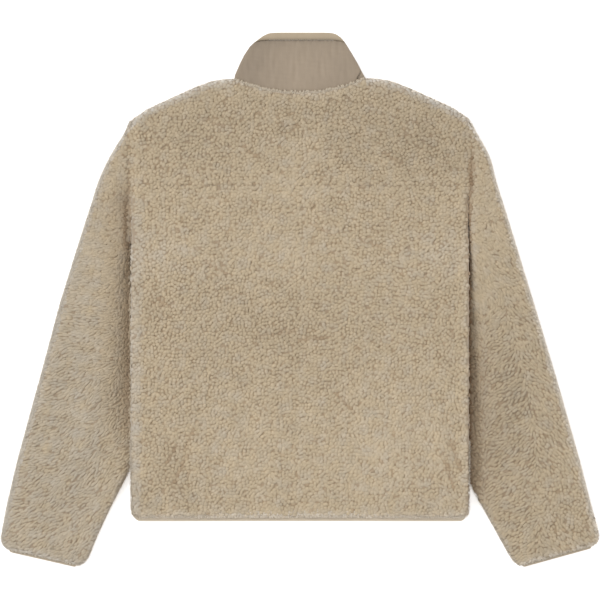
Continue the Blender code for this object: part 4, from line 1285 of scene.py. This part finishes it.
# ------------------------------------------------------------------ collar
# The stand collar is light, closely woven cloth, a little crinkled, sewn to the neckline. It
# lies flat: one back panel over two front halves, joined at its sides.

COLLAR_CLOTH = 3.0  # two layers of the cloth and their seam, as one
COLLAR_TOP_Y = 416.3
COLLAR_FRONT_TOP_Y = 393.0
COLLAR_SIDE_TOP_Y = 411.5
COLLAR_TIP_Z = 4.15  # height of the gap between the collar's layers at its top
COLLAR_TUCK = (14.0, 0.26)  # how far the back's right foot is tucked in, and up to which share
COLLAR_SQUARE = {"back": 9.0, "front": 4.0}
COLLAR_SIDES = {
    "y": (354.3, 360.0, 380.0, 393.0, 406.0, 412.0, 417.0, 421.0, 424.5),
    "left": (105.0, 104.4, 95.7, 89.2, 80.6, 74.2, 67.5, 62.4, 55.0),
    "right": (105.0, 101.6, 91.6, 84.0, 76.3, 72.5, 68.7, 64.9, 60.0),
}
WARP = 0.0006  # metres from one thread to the next
WOVEN_TAUPE = rgb(0.310, 0.243, 0.174)

woven = Finish("woven_cloth", "woven", Roughness=0.62, Sheen_Weight=0.2, Sheen_Roughness=0.4)


def weave(finish, pitch):
    """Height of a plain weave: threads that cross, each over and under the next."""
    x, y = finish.axes()[:2]
    across = (x * (math.pi / pitch)).maths("SINE")
    along = (y * (math.pi / pitch)).maths("SINE")
    over = (across * along).maths("GREATER_THAN", 0.0)
    warp, weft = across.maths("ABSOLUTE"), along.maths("ABSOLUTE")
    return warp * over + weft * (1.0 - over)


x, y, z = woven.axes()
threads = weave(woven, WARP)
streak = woven.noise(1.0, 3.0, woven.vector(x * 420.0, y * 60.0, z))
cloud = woven.noise(28.0, 2.0)
tone = 0.80 + threads * 0.14 + (streak - 0.5) * 0.10 + (cloud - 0.5) * 0.2 + woven.mark("shade")
woven.show(Base_Color=woven.tinted(WOVEN_TAUPE, tone))
woven.bump(threads + streak * 1.2, 0.00012, 0.8)


def slab(name, x, y, upper, lower, shade=None):
    """A closed layer of woven cloth from a grid of points, between its upper and lower faces.
    shade is how much paler or darker each point looks."""
    rows, columns = x.shape
    count = rows * columns
    points = np.concatenate([np.stack([x, y, z], axis=2).reshape(-1, 3) for z in (upper, lower)])
    number = np.arange(count).reshape(rows, columns)
    cells = [number[:-1, :-1], number[:-1, 1:], number[1:, 1:], number[1:, :-1]]
    cells = np.stack(cells, axis=2).reshape(-1, 4)
    rim = np.concatenate([number[0], number[1:, -1], number[-1, -2::-1], number[-2:0:-1, 0]])
    following = np.roll(rim, -1)
    walls = np.stack([rim, rim + count, following + count, following], axis=1)
    faces = np.concatenate([cells, cells[:, ::-1] + count, walls]).tolist()

    # On the atlas the two faces lie side by side, and the walls are a strip above them.
    place = np.stack([number % columns / columns, number // columns / rows], axis=2).reshape(-1, 2)
    place = place * (0.49, 0.9)
    step = np.linspace(0.0, 0.98, len(rim) + 1)
    strip = np.stack([step[:-1], step[:-1], step[1:], step[1:]], axis=1)
    strip = np.stack([strip, np.tile([0.98, 0.93, 0.93, 0.98], (len(rim), 1))], axis=2)
    atlas = [place[cells].reshape(-1, 2), place[cells[:, ::-1]].reshape(-1, 2) + (0.5, 0.0)]
    atlas = np.concatenate(atlas + [strip.reshape(-1, 2)])
    shade = np.zeros(count) if shade is None else shade.ravel()
    return new_object(name, points, faces, atlas, {"shade": np.tile(shade, 2)}, woven)


def collar_reach(y, across):
    """How far the collar reaches at a height, on the side that across is on."""
    left = np.interp(y, COLLAR_SIDES["y"], COLLAR_SIDES["left"])
    right = np.interp(y, COLLAR_SIDES["y"], COLLAR_SIDES["right"])
    return np.where(across < 0.0, left, right)


def collar_middle(share):
    """Height of the gap between the collar's layers, from its base to its top."""
    base = FLEECE + SEAM_GAP / 2
    return base + (COLLAR_TIP_Z - base) * smooth(share)


def collar_points(across, up, neck_drop, centre_top, square):
    """Points of a collar panel. across runs from -1 to 1 and up from 0 at the neckline to 1. The
    larger square is, the less the corners of its top are rounded."""
    side_y = NECK_POINT_Y + (COLLAR_SIDE_TOP_Y - NECK_POINT_Y) * up
    x = across * collar_reach(side_y, across)
    base = top_edge(across * (NECK_HALF_WIDTH - 1e-6), neck_drop) + SEAM_GAP
    top = centre_top + (COLLAR_SIDE_TOP_Y - centre_top) * np.abs(across) ** square
    return x, base + (top - base) * up


def crinkle(x, y, up):
    """Fine upright crinkles, and puckers below the top seam."""
    upright = 0.16 * drift(x, 0.16 * y, 6.0, 51) + 0.12 * drift(x, 0.3 * y, 13.0, 52)
    seam = bell(1.0 - up, 0.045) * (0.75 + 0.3 * drift(x, 0.0 * y, 5.0, 53))
    return upright - 0.9 * seam


near_side = np.array([1.0, 0.995, 0.985, 0.97, 0.95])
across = mirrored(near_side, np.linspace(-0.935, 0.935, 150))
rise = np.concatenate([[0.0, 0.02], np.linspace(0.05, 0.9, 22), [0.93, 0.955, 0.98, 1.0]])
across, up = np.meshgrid(across, rise)
edge = (1.0 - np.abs(across)) * NECK_HALF_WIDTH
near_corner = smooth((across - 0.8) / 0.2) * (1.0 - smooth(up / COLLAR_TUCK[1]))
tucked = across - COLLAR_TUCK[0] / NECK_HALF_WIDTH * near_corner
x, y = collar_points(tucked, up, BACK_NECK_DROP, COLLAR_TOP_Y, COLLAR_SQUARE["back"])
lower = collar_middle(up) + SEAM_GAP / 2
upper = lower + (COLLAR_CLOTH - 0.3 + crinkle(x, y, up)) * edge_share(edge, 0.3, 4.0)
from_top = COLLAR_TOP_Y - y
# The cloth is coloured darker towards both sides, and below its binding painted shade falls,
# darkest in a ragged line just under it.
shade = 0.03 - 0.13 * smooth((-x - 5.0) / 75.0) - 0.06 * smooth((x - 30.0) / 60.0)
shade = shade - 0.17 * np.exp(-from_top / 7.0) + 0.02 * drift(x, y, 9.0, 56)
shade = shade - bell(from_top, 1.7) * (0.16 + 0.1 * drift(x, 0.0 * y, 5.0, 57))
collar_back = slab("collar_back_cloth", x, y, upper, lower, shade)
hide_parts("collar_back")

# The front halves are the same form below, on each side of the placket.
for side, name in ((-1, "left"), (1, "right")):
    inner_edge = notch / NECK_HALF_WIDTH
    places = np.concatenate([near_side, np.linspace(0.935, inner_edge, 60)]) * side
    across, up = np.meshgrid(places[::-side], rise)
    edge = (1.0 - np.abs(across)) * NECK_HALF_WIDTH
    x, y = collar_points(across, up, FRONT_NECK_DROP, COLLAR_FRONT_TOP_Y, COLLAR_SQUARE["front"])
    x[:, 0 if side > 0 else -1] = side * notch
    upper = collar_middle(up) - SEAM_GAP / 2
    lower = upper - (COLLAR_CLOTH - 0.3 + crinkle(x, y, up)) * edge_share(edge, 0.3, 4.0)
    collar_front = slab(f"collar_front_{name}_cloth", x, y, upper, lower)
    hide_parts(f"collar_front_{name}")


# ------------------------------------------------------------------ placket and press studs
# A strip of the collar's cloth closes the front opening, sewn down 3 mm in from each edge.
# Four metal press studs are clenched through it.

STITCH_INSET = 3.0
neck = float(top_edge(np.array(0.0), FRONT_NECK_DROP))
across = mirrored(np.array([1.0, 0.97, 0.92, 0.86, 0.8]), np.linspace(-0.7, 0.7, 15))
rows = [PLACKET_END_Y, PLACKET_END_Y + 1.0, *np.arange(PLACKET_END_Y + 3.0, neck - 2.0, 3.0)]
rows += list(neck + (COLLAR_FRONT_TOP_Y - neck) * np.linspace(0.0, 1.0, 36))
x, y = np.meshgrid(across * PLACKET_HALF, rows)
up = np.clip((y - neck) / (COLLAR_FRONT_TOP_Y - neck), 0.0, 1.0)
upper = collar_middle(up) - SEAM_GAP / 2
from_edge = PLACKET_HALF - np.abs(x)
ditch = 0.35 * bell(from_edge - STITCH_INSET, 0.9) * (0.8 + 0.2 * drift(x, y, 6.0, 54))
thick = (COLLAR_CLOTH - 0.1 - ditch + 0.06 * drift(x, y, 7.0, 55)) * edge_share(from_edge, 0.7, 1.2)
placket = slab("placket_cloth", x, y, upper, upper - thick)
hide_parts("placket")

STUD_YS = (140.0, 205.0, 270.0, 335.0)
STUD_DARK = rgb(0.30, 0.245, 0.18)
STUD_WORN = rgb(0.42, 0.35, 0.265)
STUD_TURNED = (
    # radius, and drop below the stud's top
    (0.0, 0.95), (1.6, 0.98), (2.3, 1.15), (3.0, 1.3), (4.1, 1.28), (5.2, 1.05),
    (5.9, 0.75), (6.35, 0.4), (6.5, 0.15), (6.5, 0.0), (4.0, 0.0), (0.0, 0.0),
)
stud_metal = Finish("stud_metal", "stud_metal", Metallic=1.0)
worn = stud_metal.noise(900.0, 3.0)
stud_metal.show(Base_Color=stud_metal.mix(worn, STUD_DARK, STUD_WORN))
stud_metal.show(Roughness=0.3 + worn * 0.2)


def turned(name, profile, centre, finish, around=36):
    """A turned piece from a profile of radii and drops below a point, from its top to its foot."""
    angle = np.linspace(0.0, math.tau, around, endpoint=False)
    ring = np.stack([np.cos(angle), np.sin(angle), 0.0 * angle], axis=1)
    inner = np.array(profile[1:-1])
    points = [centre + ring * r - (0.0, 0.0, d) for r, d in inner]
    poles = [[centre - (0.0, 0.0, d)] for d in (profile[0][1], profile[-1][1])]
    points = np.concatenate([poles[0], *points, poles[1]])
    last = len(points) - 1
    faces, atlas = [], []
    for k in range(around):
        n = (k + 1) % around
        rings = [(0, 0), *[(1 + j * around + k, 1 + j * around + n) for j in range(len(inner))]]
        rings += [(last, last)]
        for j, ((a, b), (c, d)) in enumerate(zip(rings, rings[1:])):
            corners = [(a, k, j), (c, k, j + 1), (d, k + 1, j + 1), (b, k + 1, j)]
            corners = [q for i, q in enumerate(corners) if q[0] != corners[i - 1][0]]
            faces.append([q[0] for q in corners])
            atlas += [(q[1] / (around + 1), q[2] / (len(rings) + 1)) for q in corners]
    return new_object(name, points, faces, np.array(atlas), {}, finish)


for number, stud_y in enumerate(STUD_YS, 1):
    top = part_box(f"stud_{number}")[1][2] / MM
    centre = np.array([0.0, stud_y, top])
    stud = turned(f"stud_{number}_cap", STUD_TURNED, centre, stud_metal)
    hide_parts(f"stud_{number}")


# ------------------------------------------------------------------ bindings
# Narrow strips of ribbed tape are folded over the raw edges of the collar, the hem and the
# cuffs, and sewn on.

COLLAR_BINDING_HEIGHT = 11.74
COLLAR_BINDING_CLOTH = 4.0  # half the binding's thickness, over the collar's cloth
BINDING_CLOTH = 2.4
CUFF_BINDING_HEIGHT = 6.0
RIB = 0.0011  # metres from one rib of the tape to the next


def ribbed(name, colour):
    """The finish of the tape, which is a little paler where it has been washed and worn more."""
    made = Finish(name, "binding", Roughness=0.7, Sheen_Weight=0.25, Sheen_Roughness=0.4)
    ribs = weave(made, RIB)
    fade = made.noise(60.0, 2.0)
    tone = 0.84 + ribs * 0.14 + (fade - 0.5) * 0.16 + made.mark("shade")
    made.show(Base_Color=made.tinted(colour, tone))
    made.bump(ribs, 0.0001, 0.7)
    return made


TAPE_TAN = rgb(0.412, 0.33, 0.228)
# The tape of the hem and the cuffs is the same tan painted paler, as painted light, since those
# bindings face down, away from the light.
TAPE_TAN_LIT = rgb(0.55, 0.462, 0.346)
tape = ribbed("binding_tape", TAPE_TAN)
lit_edge_tape = ribbed("lit_edge_binding_tape", TAPE_TAN_LIT)


def tube(name, outer, inner, finish, shade=()):
    """A flattened tube of cloth from rings of its outside and of its inside. shade is how much
    paler or darker each ring of the outside looks."""
    outer, inner = np.array(outer), np.array(inner)
    count, around = outer.shape[:2]
    rings = np.concatenate([outer, inner[::-1]])
    total = len(rings)
    first = np.arange(total)[:, None] * around
    second = (np.arange(total)[:, None] + 1) % total * around
    k = np.arange(around)[None]
    n = (k + 1) % around
    faces = np.stack([first + k, second + k, second + n, first + n], axis=2)
    r = np.broadcast_to(np.arange(total)[:, None], (total, around)).reshape(-1) / total
    c = np.broadcast_to(k, (total, around)).reshape(-1) / around
    corners = ((0, 0), (1 / total, 0), (1 / total, 1 / around), (0, 1 / around))
    atlas = np.stack([np.stack([r + a, c + b], axis=1) for a, b in corners], axis=1)
    shades = np.zeros(total)
    shades[: len(shade)] = shade
    marks = {"shade": np.repeat(shades, around)}
    faces, atlas = faces.reshape(-1, 4).tolist(), 0.98 * atlas.reshape(-1, 2)
    return new_object(name, rings.reshape(-1, 3), faces, atlas, marks, finish)


def binding_ring(start, end, places, thick, edge, level):
    """A ring round a binding's section. places holds shares of its length."""
    start, end = np.array(start, float), np.array(end, float)
    along = unit(end - start)
    length = np.linalg.norm(end - start)
    across = edge + (length - 2 * edge) * np.array(places)
    rise = thick * edge_share(np.minimum(across - edge, length - edge - across), 0.2, 4.0)
    place = start + np.outer(across, along)
    over, under = np.column_stack([place, level + rise]), np.column_stack([place, level - rise])
    over[[0, -1], 2] = np.broadcast_to(level, len(over))[[0, -1]]
    return np.concatenate([over, under[-2:0:-1]])


def binding(node, rows, places):
    """The tube of a straight binding. A row is its two ends, its fullness and its level."""
    outer, inner = [], []
    for start, end, full, level in rows:
        outer.append(binding_ring(start, end, places, BINDING_CLOTH * full, 0.0, level))
        inner.append(binding_ring(start, end, places, SEAM_GAP / 2, BINDING_CLOTH, level))
    made = tube(f"{node}_tape", outer, inner, lit_edge_tape)
    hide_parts(node)


FOLDED_HEIGHT = 6.0
FOLDED = (
    # distance from the seam, of a strip of that height, and how full the strip is there
    (0.0, 1.0), (1.2, 1.03), (2.4, 0.9), (3.0, 0.86), (3.6, 0.94), (5.0, 1.0), (5.6, 0.92), (6.0, 0.7),
)
places = [[0.0, 0.002, 0.006, 0.012], np.linspace(0.02, 0.98, 110), [0.988, 0.994, 0.998, 1.0]]
places = np.concatenate(places)
rows = []
for away, full in FOLDED:
    y = HEM_Y - SEAM_GAP - away * (HEM_Y - HEM_BOTTOM_Y - SEAM_GAP) / FOLDED_HEIGHT
    reach = float(half_width(np.array(y))) - 2.0
    level = middle(reach * (2.0 * places - 1.0), y)
    rows.append(((-reach, y), (reach, y), full, level))
binding("hem_binding", rows, places)

places = np.concatenate([[0.0, 0.01, 0.025], np.linspace(0.05, 0.95, 36), [0.975, 0.99, 1.0]])
for side, table in (("left", LEFT_SLEEVE), ("right", RIGHT_SLEEVE)):
    outer, inner, along, away = cuff_ends(table)
    rows = []
    for share, full in FOLDED:
        inset = 4.0 + 3.6 * (share / FOLDED_HEIGHT) ** 2
        offset = away * (SEAM_GAP + share * CUFF_BINDING_HEIGHT / FOLDED_HEIGHT)
        start, end = outer + offset + along * inset, inner + offset - along * inset
        rows.append((start, end, full, SLEEVE_MIDDLE * table[-1][4]))
    binding(f"cuff_binding_{side}", rows, places)

# The collar's binding runs round both of its layers.
across = mirrored(near_side, np.linspace(-0.93, 0.93, 70))


def collar_edge(inset, centre_top, rise, thick, square):
    """Points along the binding on one face of the collar, from left to right. The larger square
    is, the less its corners are rounded."""
    reach = collar_reach(COLLAR_SIDE_TOP_Y + rise, across)
    x = across * (reach - inset)
    y = centre_top + (COLLAR_SIDE_TOP_Y - centre_top) * (np.abs(x) / reach) ** square + rise
    z = COLLAR_TIP_Z + thick * edge_share(reach - inset - np.abs(x), 0.2, 5.0)
    return np.stack([x, y, z], axis=1)


BINDING_SHARES = (0.0, 0.06, 0.15, 0.25, 0.4, 0.55, 0.7, 0.82, 0.91, 0.97, 1.0)
outer_rings, inner_rings = [], []
for share in BINDING_SHARES:
    fullness = 0.72 + 0.28 * smooth(share / 0.25)
    fullness *= 1.0 if share < 0.7 else math.sqrt(1.0 - 0.5 * ((share - 0.7) / 0.3) ** 2)
    rise = SEAM_GAP + share * COLLAR_BINDING_HEIGHT
    for rings, thick, inset in (
        (outer_rings, COLLAR_BINDING_CLOTH * fullness, 0.0),
        (inner_rings, SEAM_GAP / 2, 4.0),
    ):
        over = collar_edge(inset, COLLAR_TOP_Y, rise, thick, COLLAR_SQUARE["back"] + share)
        under = collar_edge(inset, COLLAR_FRONT_TOP_Y, rise, -thick, COLLAR_SQUARE["front"])
        over[[0, -1], 2] = COLLAR_TIP_Z
        rings.append(np.concatenate([over, under[-2:0:-1]]))
# Painted shade along the binding's lower edge, where it rounds down onto the collar.
shade = [-0.42 * math.exp(-share / 0.2) for share in BINDING_SHARES]
collar_binding = tube("collar_binding_tape", outer_rings, inner_rings, tape, shade)
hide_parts("collar_binding")


# ------------------------------------------------------------------ the surface and the light
# The garment lies on a plain pale surface, under a large soft light from the upper left. The
# camera looks straight down on it.

bpy.ops.mesh.primitive_plane_add(size=12.0, location=(0, 0, -0.0003))
ground = bpy.context.object
ground.name = "ground"
paper = Finish("paper", None, Roughness=0.9, Emission_Strength=0.45)
paper.show(Base_Color=rgb(0.93, 0.93, 0.93), Emission_Color=rgb(1.0, 1.0, 1.0))
ground.data.materials.append(paper.material)

sky = bpy.data.worlds.new("sky")
bpy.context.scene.world = sky
sky.use_nodes = True
sky.node_tree.nodes["Background"].inputs["Color"].default_value = rgb(1.0, 1.0, 1.0)
sky.node_tree.nodes["Background"].inputs["Strength"].default_value = 0.92

key = bpy.data.lights.new("key", "AREA")
key.shape = "DISK"
key.size = 2.4
key.energy = 145.0
key_light = bpy.data.objects.new("key", key)
key_light.location = (-3.2, 2.2, 4.4)
key_light.rotation_euler = (math.radians(-26.5), math.radians(-33), 0.0)
bpy.context.scene.collection.objects.link(key_light)

LENS = 250.0
SENSOR = 36.0
VIEW_WIDTH = 0.96
VIEW_LEVEL = 0.014  # the height at which the view is that wide
lens = bpy.data.cameras.new("camera")
lens.lens = LENS
lens.sensor_width = SENSOR
camera = bpy.data.objects.new("camera", lens)
camera.location = (0.0, 0.0, VIEW_LEVEL + VIEW_WIDTH * LENS / SENSOR)
bpy.context.scene.collection.objects.link(camera)
bpy.context.scene.camera = camera
bpy.context.scene.view_settings.view_transform = "Standard"
